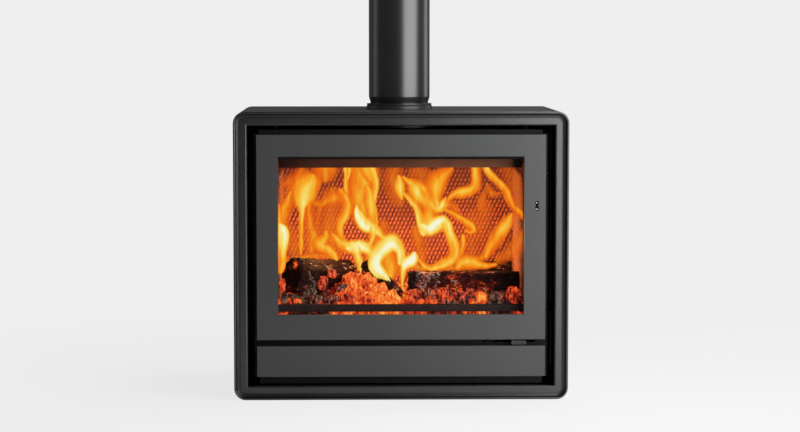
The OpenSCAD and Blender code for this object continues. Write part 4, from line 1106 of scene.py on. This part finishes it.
# sizes in millimetres, angles in degrees; flat is how flat the split sides are
logs = {
    "along": 170, "around": 84, "crack": 4.0, "crackWide": 0.22, "cell": 52.0, "cellLong": 0.7,
    "grain": 1.6, "grainShape": (30, 260, 260), "waves": 5.0, "waveScale": 18, "seed": 5,
    "endTaper": (0.93, 4.0), "endSteps": (0.8, 0.6, 0.4, 0.2), "endRough": 4.0, "endScale": 110,
    "set": {
        "left": {"start": (-268, -112, 287), "turn": 42, "rise": -6, "length": 196, "radius": 47,
                 "sides": 5, "twist": 86, "flat": 0.75},
        "right": {"start": (20, -87, 262), "turn": -2, "rise": 0, "length": 272, "radius": 41,
                  "sides": 4, "twist": 38, "flat": 0.55},
        "rear": {"start": (46, 86, 262), "turn": 0, "rise": 3, "length": 240, "radius": 32,
                 "sides": 5, "twist": 20, "flat": 0.75},
        "middle": {"start": (-84, -28, 306), "turn": -46, "rise": -30, "length": 136, "radius": 19,
                   "sides": 5, "twist": 0, "flat": 0.6},
    },
}


def logSkin(work, log, look, seed):
    # a barrel of flat sides with cracks between charred blocks, and two rough ends
    start = Vector(log["start"]) * mm
    turn, rise = math.radians(log["turn"]), math.radians(log["rise"])
    ahead = Vector((math.cos(turn) * math.cos(rise), math.sin(turn) * math.cos(rise), math.sin(rise)))
    side = Vector((-math.sin(turn), math.cos(turn), 0.0))
    up = ahead.cross(side)
    length, radius = log["length"] * mm, log["radius"] * mm
    sector = 2 * math.pi / log["sides"]
    rings = []
    for i in range(look["along"] + 1):
        share = i / look["along"]
        ring = []
        for k in range(look["around"]):
            angle = 2 * math.pi * k / look["around"]
            inSector = (angle - math.radians(log["twist"]) + sector / 2) % sector - sector / 2
            flats = math.cos(sector / 2) / math.cos(sector / 2 - abs(inSector))
            flats = 1 - (1 - flats) * log["flat"]
            round3 = Vector((share * length, math.cos(angle) * radius, math.sin(angle) * radius + seed))
            block = Vector((round3.x * look["cellLong"], round3.y, round3.z)) * look["cell"]
            apart = noise.voronoi(block)[0]
            crack = max(0.0, 1 - (apart[1] - apart[0]) / look["crackWide"]) ** 2 * look["crack"]
            grain = noise.noise(round3 * Vector(look["grainShape"])) * look["grain"]
            waves = noise.noise(round3 * look["waveScale"]) * look["waves"]
            taper = min(1.0, look["endTaper"][0] + look["endTaper"][1] * min(share, 1 - share))
            reach = radius * flats * taper + min(0.0, waves - crack + grain) * mm
            outward = side * math.cos(angle) + up * math.sin(angle)
            ring.append(start + ahead * (share * length) + outward * reach)
        rings.append([work.verts.new(point) for point in ring])
    for first, second in zip(rings, rings[1:]):
        for k in range(look["around"]):
            after = (k + 1) % look["around"]
            work.faces.new((first[k], first[after], second[after], second[k]))
    for ring, way in ((rings[0], -1), (rings[-1], 1)):
        centre = sum((v.co for v in ring), Vector()) / len(ring)
        previous = ring
        for step in look["endSteps"]:
            inner = []
            for vert in ring:
                spot = vert.co.lerp(centre, 1 - step) * look["endScale"] + Vector((seed, 0, 0))
                rough = noise.noise(spot) * look["endRough"] * mm
                inner.append(work.verts.new(centre + (vert.co - centre) * step - ahead * way * abs(rough)))
            for k in range(look["around"]):
                after = (k + 1) % look["around"]
                work.faces.new((previous[k], previous[after], inner[after], inner[k]))
            previous = inner
        tip = work.verts.new(centre)
        for k in range(look["around"]):
            work.faces.new((previous[k], previous[(k + 1) % look["around"]], tip))


def makeLogs(look):
    work = bmesh.new()
    for number, log in enumerate(look["set"].values()):
        logSkin(work, log, look, look["seed"] + number)
    piece = fromBmesh("logs", work, finishes["charred_wood"])
    return standFor(piece, "stove", "charred_wood", "logs")


makeLogs(logs)
print("logs made")


# Camera: the photograph's own viewpoint

# turns in degrees, lens and sensor in millimetres, the photograph's frame in pixels
view = {
    "place": (-0.1284, -5.58, 0.8587), "lens": 101.52, "sensor": 36.0, "down": 4.45, "right": 1.338,
    "wide": 800, "high": 432, "clip": (0.1, 60.0),
}


def makeCamera(look):
    data = bpy.data.cameras.new("camera")
    data.lens = look["lens"]
    data.sensor_width = look["sensor"]
    data.clip_start, data.clip_end = look["clip"]
    camera = bpy.data.objects.new("camera", data)
    camera.location = look["place"]
    camera.rotation_euler = (math.radians(90 - look["down"]), 0.0, -math.radians(look["right"]))
    scene.collection.objects.link(camera)
    scene.camera = camera


makeCamera(view)


# Flames: two thin sheets that billow in depth. The tongues are drawn as they stand in the
# photograph's frame of 800 by 432 pixels: x, y, half width and warmth from point to point

fire = {
    "step": 0.8, "frame": (276.0, 526.0, 164.0, 292.0), "soft": 1.4, "thick": 10.0, "seed": 4.0, "drift": 3,
    "sway": [(1.3, 16.0, 24.0), (0.6, 5.0, 9.0)], "side": 296.5, "top": 560.0, "veil": 0.8, "broad": 1.14,
    "cold": 0.35, "streak": 0.5, "streakCover": 0.25, "streakWarmth": 0.10, "least": 0.03, "thinnest": 0.4,
    # across a tongue: how much sharper its bright edge is, where its cover starts to fade on the bright
    # side and on the other, and the bright ridge beside that edge
    "sharper": 0.8, "solid": (0.5, 0.4, 0.45), "ridge": 0.55, "ridgeWide": 0.42, "ridgeWarmth": 0.22,
    "rim": (0.4, 1.2), "rimCool": 0.10,
    # close to the window's sides the flames lean forward to this depth, so that they reach its edges
    "edge": -128.0, "edgeLeft": (291.0, 281.0), "edgeRight": (511.0, 521.0),
    # each tongue by name: depth, strength, lean of the bright edge, spine
    "rear": {
        "topLeftVeil": (70, 0.3, 0.0, [
            (302, 172, 6, .26), (296, 180, 7, .28), (288, 188, 7, .26), (282, 200, 6, .3)]),
        "leftVeil": (60, 0.5, 0.0, [
            (332, 196, 8, .36), (331, 206, 10, .36), (330, 218, 11, .34), (330, 230, 10, .36),
            (332, 242, 8, .38), (336, 252, 6, .4)]),
        "curtain": (60, 1.0, 0.2, [
            (362, 164, 15, .52), (362, 175, 14, .5), (361, 185, 12, .48), (359, 194, 11, .48),
            (358, 202, 10, .48), (361, 210, 11, .46), (366, 219, 9, .46), (371, 228, 6, .44)]),
        "lowLeftVeil": (70, 0.45, 0.0, [
            (309, 200, 7, .38), (310, 214, 7, .38), (311, 228, 8, .42), (312, 242, 8, .44),
            (312, 254, 6, .4)]),
        "middleVeil": (60, 0.46, 0.0, [
            (396, 166, 6, .36), (393, 176, 8, .36), (394, 188, 8, .38), (398, 200, 6, .34)]),
        "rightOfMiddleVeil": (65, 0.36, 0.0, [
            (418, 172, 8, .3), (424, 180, 9, .34), (430, 190, 9, .38)]),
        "farRightVeil": (60, 0.3, 0.0, [
            (486, 206, 6, .26), (480, 216, 9, .28), (476, 228, 10, .28), (472, 240, 8, .28),
            (470, 250, 7, .32)]),
        "rightCornerVeil": (60, 0.45, 0.0, [
            (523, 236, 6, .38), (517, 246, 7, .4), (510, 253, 6, .38), (500, 259, 5, .36)]),
        "baseVeil": (55, 0.55, 0.0, [
            (415, 230, 4, .36), (418, 240, 6, .38), (420, 249, 6, .4), (422, 258, 4, .42)]),
        "underCurtain": (55, 0.6, 0.0, [
            (382, 226, 6, .42), (379, 236, 8, .44), (377, 246, 9, .46), (373, 256, 8, .44),
            (368, 264, 6, .42)]),
        "topRightVeil": (70, 0.3, 0.0, [
            (505, 168, 6, .3), (512, 180, 7, .3), (517, 192, 6, .28), (519, 206, 5, .28)]),
        "leftEdgeVeil": (65, 0.45, 0.0, [
            (282, 212, 5, .36), (286, 224, 6, .34), (290, 236, 7, .36), (293, 248, 7, .38)]),
        "topSpike": (50, 0.75, 0.0, [
            (318, 165, 5, .4), (318, 172, 4.5, .4), (317.5, 180, 3, .36), (317, 189, 2, .34)]),
        "topTongue": (50, 0.85, 0.0, [
            (325.5, 163, 11, .48), (325.5, 169, 10, .46), (325, 174, 7, .46), (324.5, 179, 3, .44)]),
        "topLeftWisp": (50, 0.6, 0.0, [
            (301, 171, 3, .34), (297, 177, 5, .34), (290, 181, 5, .3), (284, 184, 3, .26)]),
        "crossWisp": (45, 0.75, -0.3, [
            (312, 203, 1, .44), (316, 204, 3, .46), (321, 203.5, 3.6, .46), (326, 200, 3.2, .46),
            (329.5, 196, 1.6, .44)]),
        "crossDrop": (45, 0.6, 0.0, [
            (320, 205, 2.6, .42), (318.5, 213, 1.8, .4), (317, 222, 1.6, .4)]),
        "crossLeaf": (45, 0.7, 0.0, [
            (324, 204, 3, .42), (331, 200.5, 5, .46), (338, 198, 6, .48), (344, 198, 6, .46)]),
        "leftRibbon": (50, 0.75, 0.0, [
            (309, 203, 3, .42), (309.5, 214, 3.4, .44), (311, 225, 3.6, .5), (313, 236, 4, .54),
            (312.5, 246, 3.6, .52), (312, 254, 2, .48)]),
        "forkLeaf": (40, 0.6, 0.0, [
            (446.5, 203, 2.6, .42), (451, 206, 4.4, .42), (455, 209, 4, .4), (458, 213, 2, .36)]),
        "rightLeaf": (55, 0.6, 0.0, [
            (486.5, 185, 1.6, .38), (489, 190, 3.2, .42), (492, 193.5, 3.4, .42), (497, 194, 2.4, .4),
            (501, 193, 1.2, .36)]),
        "rightLeafTail": (55, 0.45, 0.0, [
            (485, 192, 3, .38), (482, 199, 3.6, .34), (481, 207, 3, .32)]),
        "rightRibbon": (45, 0.75, 0.0, [
            (481, 258, 3.4, .46), (489, 250, 4, .46), (497, 241, 4.4, .44), (503, 233, 3, .42)]),
        "logLine": (50, 0.65, 0.0, [
            (414, 267, 3, .52), (424, 268.5, 2.6, .54), (440, 268.5, 2.6, .52), (456, 268, 2.4, .5),
            (474, 266, 2.4, .48), (490, 265, 2.2, .46)]),
        "leftLogLine": (45, 0.7, 0.0, [
            (290, 262, 4, .56), (300, 258, 3, .5), (314, 256, 3, .46), (328, 256, 3, .46)]),
    },
    "front": {
        "leftDrop": (20, 0.97, 0.35, [
            (313, 175.4, 1.8, .58), (311.4, 179.4, 5.6, .6), (308, 183.5, 9.4, .62),
            (304.6, 187, 11.4, .66), (303.2, 191, 11.2, .68), (302.6, 195, 10, .7), (302, 199, 8, .74),
            (301.8, 203, 5.8, .78), (302, 207.5, 3.8, .76), (302.6, 213, 2.8, .68), (302, 220, 2.6, .6),
            (301.3, 228, 2.4, .56), (301, 238, 2.3, .54), (301, 247, 2.1, .52), (301, 254, 1.2, .48)]),
        "leftLeaf": (30, 0.85, -0.5, [
            (291, 192, 1.2, .5), (288.4, 199, 3.6, .5), (287, 205, 5.6, .5), (284.4, 210, 6.4, .54),
            (283.6, 214, 6.6, .56), (284.6, 218, 4.6, .5), (286.4, 222, 1.4, .44)]),
        "leftEdge": (20, 0.8, 0.0, [
            (278.5, 205, 1.8, .52), (279.6, 214, 3, .54), (280, 222, 4, .56), (281, 228, 3.6, .6)]),
        "cornerFlame": (-60, 0.96, 0.5, [
            (280.5, 227, 3.6, .86), (282.6, 231, 6, .94), (283.2, 238, 6, .92), (282.6, 245, 5.2, .86),
            (281.6, 252, 4.8, .7), (281.4, 258, 5, .6), (282, 264, 4.6, .54), (280.6, 270, 3, .5)]),
        "curtainLeft": (20, 0.85, -0.3, [
            (345, 163, 2.2, .62), (346, 175, 2.3, .64), (346, 183, 2.2, .66), (346.2, 190, 2.4, .64),
            (347.2, 198, 2, .58)]),
        "curtainLeftThin": (20, 0.8, 0.0, [
            (349.2, 163, 1.5, .72), (348.8, 172, 1.7, .72), (347.8, 179, 1.3, .64)]),
        "curtainTop": (10, 0.8, 0.0, [
            (366, 163, 7, .6), (367.4, 171, 6, .6), (369.4, 178, 4, .56)]),
        "curtainRight": (10, 0.9, 0.6, [
            (370, 163, 3.6, .66), (373, 175, 3.8, .66), (375, 182, 3.4, .68), (375.4, 190, 3.2, .66),
            (374, 198, 3.2, .64), (372.6, 205, 3.4, .62), (373.6, 213, 3.6, .62), (375.2, 221, 3, .58),
            (375.4, 227, 1.8, .54)]),
        "curtainFold": (5, 0.8, 0.4, [
            (366.6, 188, 2.8, .62), (368.8, 195, 4.2, .66), (369.8, 203, 4.4, .68), (371, 212, 4, .64),
            (372, 220, 2.6, .58)]),
        "leftSwan": (10, 0.85, 0.5, [
            (341, 192, 3, .48), (345, 198, 4.4, .52), (347.2, 204, 4.6, .56), (347.4, 210, 4.8, .6),
            (344.6, 215.4, 4.4, .62), (340.8, 221, 3.6, .62), (339.2, 227, 3.4, .62), (340, 233, 3.4, .6),
            (342.4, 239, 3.2, .58), (345.6, 244, 3, .58)]),
        "brightLeaf": (-20, 0.97, -0.4, [
            (357.2, 208, 1.8, .82), (357.8, 213, 3.6, .9), (359.6, 217.4, 4.8, .94),
            (362.4, 221.6, 5.6, .96), (366.6, 225.4, 6, .95), (371.6, 228, 4.8, .9),
            (376.4, 230.4, 4.2, .8), (380, 233.6, 3.4, .7), (383, 237, 2.2, .62)]),
        "brightLeafTail": (-20, 0.8, 0.3, [
            (372.6, 229, 3, .72), (372.8, 235, 2.8, .7), (371.8, 241, 2.4, .68), (370, 246, 2.2, .66)]),
        "lowHook": (-15, 0.88, 0.3, [
            (325.4, 232, 1.8, .58), (325.6, 237, 3.6, .6), (322.8, 241, 5.6, .64), (319.6, 244, 6.4, .66),
            (323, 247.6, 5.4, .64), (329, 250.6, 4.6, .62), (333.2, 254.2, 3.6, .62),
            (335.6, 259.4, 3, .62), (336.6, 265.4, 2.4, .6), (338.2, 271.6, 1.8, .58),
            (340.4, 277, 1, .54)]),
        "lowHookArm": (-15, 0.88, 0.3, [
            (332.6, 235, 1.8, .54), (337, 239.2, 3.6, .58), (341.4, 243, 5, .62), (346, 246.4, 5.4, .66),
            (351, 248.6, 5.4, .74)]),
        "lowArch": (-30, 0.97, -0.4, [
            (349, 248, 3, .82), (353, 247, 5.4, .94), (358, 246.2, 6, .98), (363, 247, 5.6, .9),
            (368, 249.2, 5, .76), (373, 251.6, 4.4, .66), (378, 252.6, 3.4, .58)]),
        "lowArchFoot": (-35, 0.9, 0.3, [
            (355.6, 250, 4.4, .82), (357, 256, 4, .74), (359, 261.4, 4, .7), (360, 266.4, 3.6, .68),
            (359.6, 271.6, 3, .66), (357.8, 277, 2.2, .64), (356.2, 282.6, 1.5, .6),
            (355.4, 287.6, .9, .56)]),
        "ringFill": (-70, 0.8, 0.0, [
            (385, 252, 9, .52), (388, 259, 10, .5), (390, 266, 9, .52), (390, 273, 6, .54)]),
        "ring": (-90, 0.98, -0.5, [
            (389.4, 281.6, 1.8, .7), (384.4, 277.6, 4.2, .84), (378.6, 272.8, 6.2, .96),
            (374.6, 266.6, 7, 1.0), (374.6, 260.4, 6.6, .98), (378.2, 254.2, 6.6, .92),
            (382.8, 248.6, 7.4, .88), (387.2, 243.8, 8, .9), (392.2, 242, 7.6, .92), (397, 245, 6.2, .88),
            (400.4, 250, 4.8, .86), (401, 256, 3.8, .86), (400.8, 262, 3, .84)]),
        "spear": (-90, 0.98, 0.0, [
            (413.8, 253.4, 1.8, .92), (413.2, 257.6, 4.2, 1.0), (410.6, 261.2, 5.6, 1.0),
            (407, 263.8, 5.6, .98), (404.4, 267.2, 3.8, .9), (403, 272.6, 2.6, .78), (402.5, 278.4, 2, .7),
            (402.5, 284, 1.4, .64), (402.9, 289, .8, .58)]),
        "smallLeaf": (-10, 0.88, 0.2, [
            (399, 177, 2.2, .62), (399.6, 183, 4.2, .72), (399.7, 188, 4.6, .74), (400.2, 193, 3.6, .68),
            (401.4, 198, 1.8, .58)]),
        "wing": (0, 0.88, 0.0, [
            (404, 177.4, 1.4, .54), (408.4, 180.6, 3, .56), (413, 184, 5, .6), (416, 189.4, 7.6, .74),
            (418.8, 194, 7.8, .76), (423, 199, 8, .64), (427, 204, 8.4, .52), (430, 210, 8.4, .5),
            (429, 217, 8, .56), (428, 223, 7, .66)]),
        "wingRight": (0, 0.92, 0.5, [
            (423.6, 189, 3, .66), (428, 196, 3.8, .74), (431.4, 202, 4.2, .78), (436.2, 206.6, 4.8, .8),
            (441, 207, 5, .8), (444.2, 204, 4.2, .74), (445.6, 200, 2.4, .64)]),
        "wingLeft": (0, 0.9, -0.5, [
            (405, 193.6, 1.8, .64), (410, 200, 2.6, .68), (415, 205.4, 3.2, .72), (418, 211.4, 3.4, .74),
            (419.6, 218.4, 3.4, .76), (421, 226, 3.8, .8), (423.4, 232, 3.6, .84)]),
        "bowl": (-10, 0.97, 0.3, [
            (423, 227, 4, .84), (428, 229.6, 5.4, .92), (432.4, 228.4, 6.2, .96), (437, 224.4, 6.6, .96),
            (441.6, 222.4, 5.8, .9), (445.4, 225, 4.8, .82), (447.8, 229.6, 4.2, .76)]),
        "tallVeil": (20, 0.88, 0.3, [
            (452, 167, 1.6, .46), (447, 172, 4.4, .48), (441, 177, 6.6, .52), (436.4, 182, 8.6, .56),
            (434.8, 188, 8.6, .58), (435, 194, 6.8, .56), (436, 199.4, 4.6, .58), (437.2, 204, 3, .62)]),
        "topHook": (15, 0.9, -0.3, [
            (475.6, 163, 4, .56), (476, 173, 4.2, .58), (476, 180.4, 4.4, .58), (474.4, 186.4, 5, .58),
            (470, 190, 5, .6), (464, 192, 5, .62), (458, 193.6, 4.4, .6), (453, 195.6, 3.4, .56),
            (449.4, 198.6, 2.4, .5), (447, 202, 1.2, .44)]),
        "rightStreak": (10, 0.9, 0.5, [
            (484.6, 164, 2.8, .68), (488, 172, 3.4, .68), (493, 178, 3.4, .64), (499.2, 183, 3.2, .6),
            (504, 188, 3.2, .56), (507.4, 193.6, 3.8, .54), (509.6, 199.6, 3.4, .52), (512.4, 205.4, 3, .5),
            (516.4, 209.6, 3.2, .5), (520.4, 213, 3.4, .48), (524, 217, 2.6, .46)]),
        "rightBlade": (20, 0.88, 0.0, [
            (511.8, 214, 1.6, .52), (509, 220, 4.4, .58), (506, 225, 5.6, .64), (502.2, 229.4, 6, .62),
            (498.4, 233.6, 6, .56), (495, 238.6, 5.6, .54), (492, 244, 5, .52), (489, 249.4, 4.4, .5),
            (486, 255, 3.4, .48)]),
        "bowlTail": (-20, 0.92, 0.5, [
            (446.6, 226, 4.4, .8), (449.6, 233, 4.4, .72), (452.4, 239.4, 4.8, .68), (454.4, 246, 4.8, .66),
            (455, 252, 4.8, .66), (454, 257, 5.2, .66), (450.4, 260.6, 5.2, .66), (445.8, 262.8, 4.8, .66),
            (441, 265, 4.2, .66), (436.2, 267.2, 3.6, .66), (431.6, 268.4, 2.8, .64),
            (427, 266.6, 2.6, .62), (422.4, 263.4, 2.2, .6), (418.4, 259.2, 1.4, .54)]),
        "middleStreak": (30, 0.9, 0.4, [
            (443.5, 209, 1.4, .56), (449, 212.6, 2.4, .56), (455, 216, 2.8, .54), (461, 219, 3, .54),
            (467, 222.6, 3.4, .54), (471.6, 226, 3.6, .54), (473.4, 229.6, 3, .52), (470, 231.6, 2.4, .48),
            (466, 230, 1.8, .44)]),
        "shortWisp": (0, 0.75, 0.0, [
            (462.6, 236, 2.2, .6), (463, 243, 2.4, .64), (462, 249.4, 2.4, .6), (460.2, 255, 2.2, .56)]),
        "endFlame": (-20, 0.9, 0.0, [
            (457.6, 267, 2.4, .56), (461, 263, 5.4, .62), (465.4, 261, 6.4, .64), (470.4, 261, 6.2, .62),
            (475.4, 263.4, 4.8, .58), (481, 265.4, 3.4, .54), (488, 265.6, 2.8, .52), (495, 264.4, 2, .48)]),
    },
}


def splinePoints(spine, pitch=0.5):
    # a smooth curve through the points, with their widths and warmths
    dots = [Vector(point) for point in spine]
    padded = [dots[0] * 2 - dots[1]] + dots + [dots[-1] * 2 - dots[-2]]
    made = []
    for a, b, c, d in zip(padded, padded[1:], padded[2:], padded[3:]):
        count = max(2, int((c.xy - b.xy).length / pitch))
        for k in range(count):
            t = k / count
            made.append(0.5 * (2 * b + (c - a) * t + (2 * a - 5 * b + 4 * c - d) * t * t
                               + (3 * b - a - 3 * c + d) * t ** 3))
    made.append(dots[-1])
    return np.array(made)


def smoothStep(low, high, value):
    share = np.clip((value - low) / (high - low), 0.0, 1.0)
    return share * share * (3 - 2 * share)


def paintTongue(canvas, tongue, look):
    # lays one tongue over what the sheet holds: sharp at its bright edge and soft at the other
    depth, strength, lean, spine = tongue
    soft = look["soft"]
    curve = splinePoints(spine)
    curve[:, 2] *= look["broad"]
    reach = curve[:, 2].max() * soft + look["step"] * 2.5
    near = ((canvas["x"] > curve[:, 0].min() - reach) & (canvas["x"] < curve[:, 0].max() + reach)
            & (canvas["y"] > curve[:, 1].min() - reach) & (canvas["y"] < curve[:, 1].max() + reach))
    x, y = canvas["x"][near], canvas["y"][near]
    best = np.full(x.shape, 9.0)
    side = np.zeros(x.shape)
    warm = np.zeros(x.shape)
    ahead = np.gradient(curve[:, :2], axis=0)
    for (cx, cy, wide, heat), (ax, ay) in zip(curve, ahead):
        wide = max(wide, look["thinnest"])
        apart = np.hypot(x - cx, y - cy) / wide
        closer = apart < best
        best = np.where(closer, apart, best)
        cross = ((x - cx) * ay - (y - cy) * ax) / (wide * max(math.hypot(ax, ay), 0.001))
        side = np.where(closer, cross, side)
        warm = np.where(closer, heat, warm)
    share = np.clip(side * math.copysign(1, lean), -1.0, 1.0)
    edge = 1.0 + (soft - 1.0) * np.where(share > 0, 1 - abs(lean) * look["sharper"], 1.0)
    inner = np.where(share > 0, look["solid"][0] + look["solid"][1] * abs(lean), look["solid"][2])
    cover = strength * (1 - smoothStep(inner, edge, best))
    ridge = np.exp(-((share - look["ridge"] * abs(lean)) / look["ridgeWide"]) ** 2)
    warm = warm + (ridge - look["ridge"]) * look["ridgeWarmth"]
    warm = warm - look["rimCool"] * smoothStep(look["rim"][0], look["rim"][1], best)
    canvas["warmth"][near] = canvas["warmth"][near] * (1 - cover) + warm * cover
    canvas["depth"][near] = canvas["depth"][near] * (1 - cover) + depth * cover
    canvas["cover"][near] = 1 - (1 - canvas["cover"][near]) * (1 - cover)


def flameSheet(name, look, tongues, aim, share=1.0):
    # paints the tongues on a grid, keeps its covered cells and closes them with a second face behind
    left, right, top, bottom = look["frame"]
    columns = np.arange(left, right, look["step"])
    rows = np.arange(bottom, top, -look["step"])
    x, y = np.meshgrid(columns, rows)
    shiftX, shiftY, streak = np.zeros(x.shape), np.zeros(x.shape), np.zeros(x.shape)
    noise.seed_set(look["drift"])
    for amount, wide, tall in look["sway"]:
        push = np.array([noise.noise_vector(Vector((a / wide, b / tall, look["seed"])))
                         for a, b in zip(x.flat, y.flat)])
        shiftX += push[:, 0].reshape(x.shape) * amount
        shiftY += push[:, 1].reshape(x.shape) * amount
        streak += push[:, 2].reshape(x.shape) * look["streak"]
    depths = [tongue[0] for tongue in tongues.values()]
    canvas = {"x": x + shiftX, "y": y + shiftY, "warmth": np.full(x.shape, look["cold"]),
              "depth": np.full(x.shape, float(depths[0])), "cover": np.zeros(x.shape)}
    for tongue in tongues.values():
        paintTongue(canvas, tongue, look)
    beside = smoothStep(look["edgeRight"][0], look["edgeRight"][1], x)
    beside += 1 - smoothStep(look["edgeLeft"][1], look["edgeLeft"][0], x)
    canvas["depth"] = canvas["depth"] * (1 - beside) + look["edge"] * beside
    cover = np.clip(canvas["cover"] * share * (1 + look["streakCover"] * streak), 0.0, 1.0)
    warmth = canvas["warmth"] + look["streakWarmth"] * streak
    kept = cover > look["least"]
    cells = kept[:-1, :-1] & kept[1:, :-1] & kept[:-1, 1:] & kept[1:, 1:]
    padded = np.pad(cells, 1)
    inside = padded[:-1, :-1] & padded[1:, :-1] & padded[:-1, 1:] & padded[1:, 1:]
    # a cell with no inner corner would have both its faces in one place
    cells &= inside[:-1, :-1] | inside[1:, :-1] | inside[:-1, 1:] | inside[1:, 1:]
    padded = np.pad(cells, 1)
    used = padded[:-1, :-1] | padded[1:, :-1] | padded[:-1, 1:] | padded[1:, 1:]
    half = np.where(inside, 0.5 + look["thick"] / 2 * cover ** 0.5, 0.0)
    frontOf = np.cumsum(used.flat).reshape(x.shape) - 1
    backOf = np.where(inside, used.sum() + np.cumsum(inside.flat).reshape(x.shape) - 1, frontOf)
    points = []
    for sign, mask in ((-1, used), (1, inside)):
        place = aim(x[mask], y[mask], canvas["depth"][mask] + sign * half[mask])
        place[:, 0] = np.clip(place[:, 0], -look["side"] * mm, look["side"] * mm)
        place[:, 2] = np.minimum(place[:, 2], look["top"] * mm)
        points.append(place)
    faces = []
    for row, column in zip(*np.nonzero(cells)):
        corners = [(row, column), (row, column + 1), (row + 1, column + 1), (row + 1, column)]
        faces.append([int(frontOf[corner]) for corner in corners])
        faces.append([int(backOf[corner]) for corner in reversed(corners)])
    mesh = bpy.data.meshes.new(name)
    mesh.from_pydata(np.concatenate(points).tolist(), [], faces)
    for label, values in (("warmth", warmth), ("cover", cover)):
        both = np.concatenate([values[used], values[inside]])
        mesh.attributes.new(label, "FLOAT", "POINT").data.foreach_set("value", both)
    piece = newPiece(name, mesh, flames)
    for face in mesh.polygons:
        face.use_smooth = True
    piece.visible_shadow = False
    piece.visible_diffuse = False
    return standFor(piece, "stove", "embers")


def sightLines(look):
    # gives the place at a depth in millimetres that a pixel of the photograph shows
    eye = Vector(look["place"])
    down, right = math.radians(look["down"]), math.radians(look["right"])
    ahead = Vector((math.sin(right) * math.cos(down), math.cos(right) * math.cos(down), -math.sin(down)))
    across = Vector((math.cos(right), -math.sin(right), 0.0))
    up = across.cross(ahead)
    zoom = look["lens"] / look["sensor"] * look["wide"]

    def aim(x, y, depth):
        u, v = (x - look["wide"] / 2) / zoom, (look["high"] / 2 - y) / zoom
        way = np.outer(np.ones(len(u)), ahead) + np.outer(u, across) + np.outer(v, up)
        return np.array(eye) + way * ((depth * mm - eye.y) / way[:, 1])[:, None]
    return aim


aim = sightLines(view)
flameSheet("flamesRear", fire, fire["rear"], aim, fire["veil"])
flameSheet("flamesFront", fire, fire["front"], aim)
print("flames made")


# Floor, backdrop and lamps

# mirrored is the share of floor and sky that glossy faces show, glossBand how high above the horizon
studio = {
    "pale": seen(239, 239, 240), "fill": 0.11, "glossBand": (0.03, 0.16), "mirrored": 0.07,
    "floor": 0.85, "lift": 1.06, "shadowShare": 0.16, "reach": (0.55, 1.9), "radius": 9.0, "drop": 0.0005,
}
# place, aim, width and height of each lamp in metres, and its power in watts
lamps = {
    "keyLamp": ((1.3, -1.38, 1.0), (0.48, 0.0, 0.9), 1.86, 1.9, 54.0),
    "leftLamp": ((-2.6, 0.6, 1.2), (0.0, 0.0, 0.6), 0.8, 1.6, 3.0),
    "topLamp": ((0.7, 0.3, 2.6), (0.1, 0.1, 0.7), 1.4, 1.0, 24.0),
    "rearLamp": ((2.3, 1.2, 1.0), (0.0, 0.1, 0.7), 0.7, 1.6, 8.0),
}
# place and power of each glow inside the fire
glows = {
    "colour": (1.0, 0.45, 0.14), "soft": 0.04,
    "places": {
        "glowLeft": ((-0.19, -0.04, 0.36), 1.6), "glowMiddle": ((-0.02, -0.05, 0.33), 2.4),
        "glowRight": ((0.17, -0.03, 0.38), 1.6),
    },
}


def pathShare(board, share):
    path = board.tree.nodes.new("ShaderNodeLightPath")
    named = {socket.name: Wire(board, socket) for socket in path.outputs}
    return named["Is Camera Ray"] + named["Is Transmission Ray"], named["Is Glossy Ray"] * share


def makeSky(look):
    world = bpy.data.worlds.new("studio")
    scene.world = world
    world.use_nodes = True
    board = Board(world.node_tree)
    high = board.axes(board.put("ShaderNodeTexCoord", {}, {}, "Generated"))[2]
    direct, glossy = pathShare(board, look["mirrored"])
    band = board.spread(high, *look["glossBand"], 1.0, 0.0)
    shown = board.spread(direct + glossy * band, 0.0, 1.0)
    strength = look["fill"] + shown * (1 - look["fill"])
    sky = board.put("ShaderNodeBackground", {}, {"Color": look["pale"], "Strength": strength})
    board.put("ShaderNodeOutputWorld", {}, {0: sky})


def makeFloor(look):
    work = bmesh.new()
    bmesh.ops.create_circle(work, cap_ends=True, radius=look["radius"], segments=96)
    mesh = bpy.data.meshes.new("floor")
    work.to_mesh(mesh)
    work.free()
    material, board = newMaterial("floor")
    x, y, _ = board.axes(board.objectSpot())
    distance = (x * x + y * y) ** 0.5
    near = board.spread(distance, *look["reach"], 1.0, 0.0)
    direct, glossy = pathShare(board, look["mirrored"])
    shown = board.spread(direct + glossy, 0.0, 1.0) * (1 - near * look["shadowShare"])
    tone = look["floor"]
    matte = board.put("ShaderNodeBsdfDiffuse", {}, {"Color": (tone, tone, tone, 1.0)})
    lift = board.spread(near, 0.0, 1.0, 1.0, look["lift"])
    pale = board.put("ShaderNodeEmission", {}, {"Color": look["pale"], "Strength": lift})
    both = board.put("ShaderNodeMixShader", {}, {0: shown, 1: matte, 2: pale})
    board.put("ShaderNodeOutputMaterial", {}, {0: both})
    floor = newPiece("floor", mesh, material)
    floor.location.z = -look["drop"]


def newLamp(name, kind, place, power):
    data = bpy.data.lights.new(name, kind)
    data.energy = power
    lamp = bpy.data.objects.new(name, data)
    lamp.location = place
    scene.collection.objects.link(lamp)
    return lamp


def softbox(name, place, target, wide, high, power):
    lamp = newLamp(name, "AREA", place, power)
    lamp.data.shape = "RECTANGLE"
    lamp.data.size = wide
    lamp.data.size_y = high
    lamp.rotation_euler = (Vector(target) - Vector(place)).to_track_quat("-Z", "Y").to_euler()
    lamp.visible_camera = False


def fireGlow(name, place, power, look):
    lamp = newLamp(name, "POINT", place, power)
    lamp.data.color = look["colour"]
    lamp.data.shadow_soft_size = look["soft"]


makeSky(studio)
makeFloor(studio)
for name, lamp in lamps.items():
    softbox(name, *lamp)
for name, (place, power) in glows["places"].items():
    fireGlow(name, place, power, glows)
print("studio made")

scene.view_settings.view_transform = "Standard"
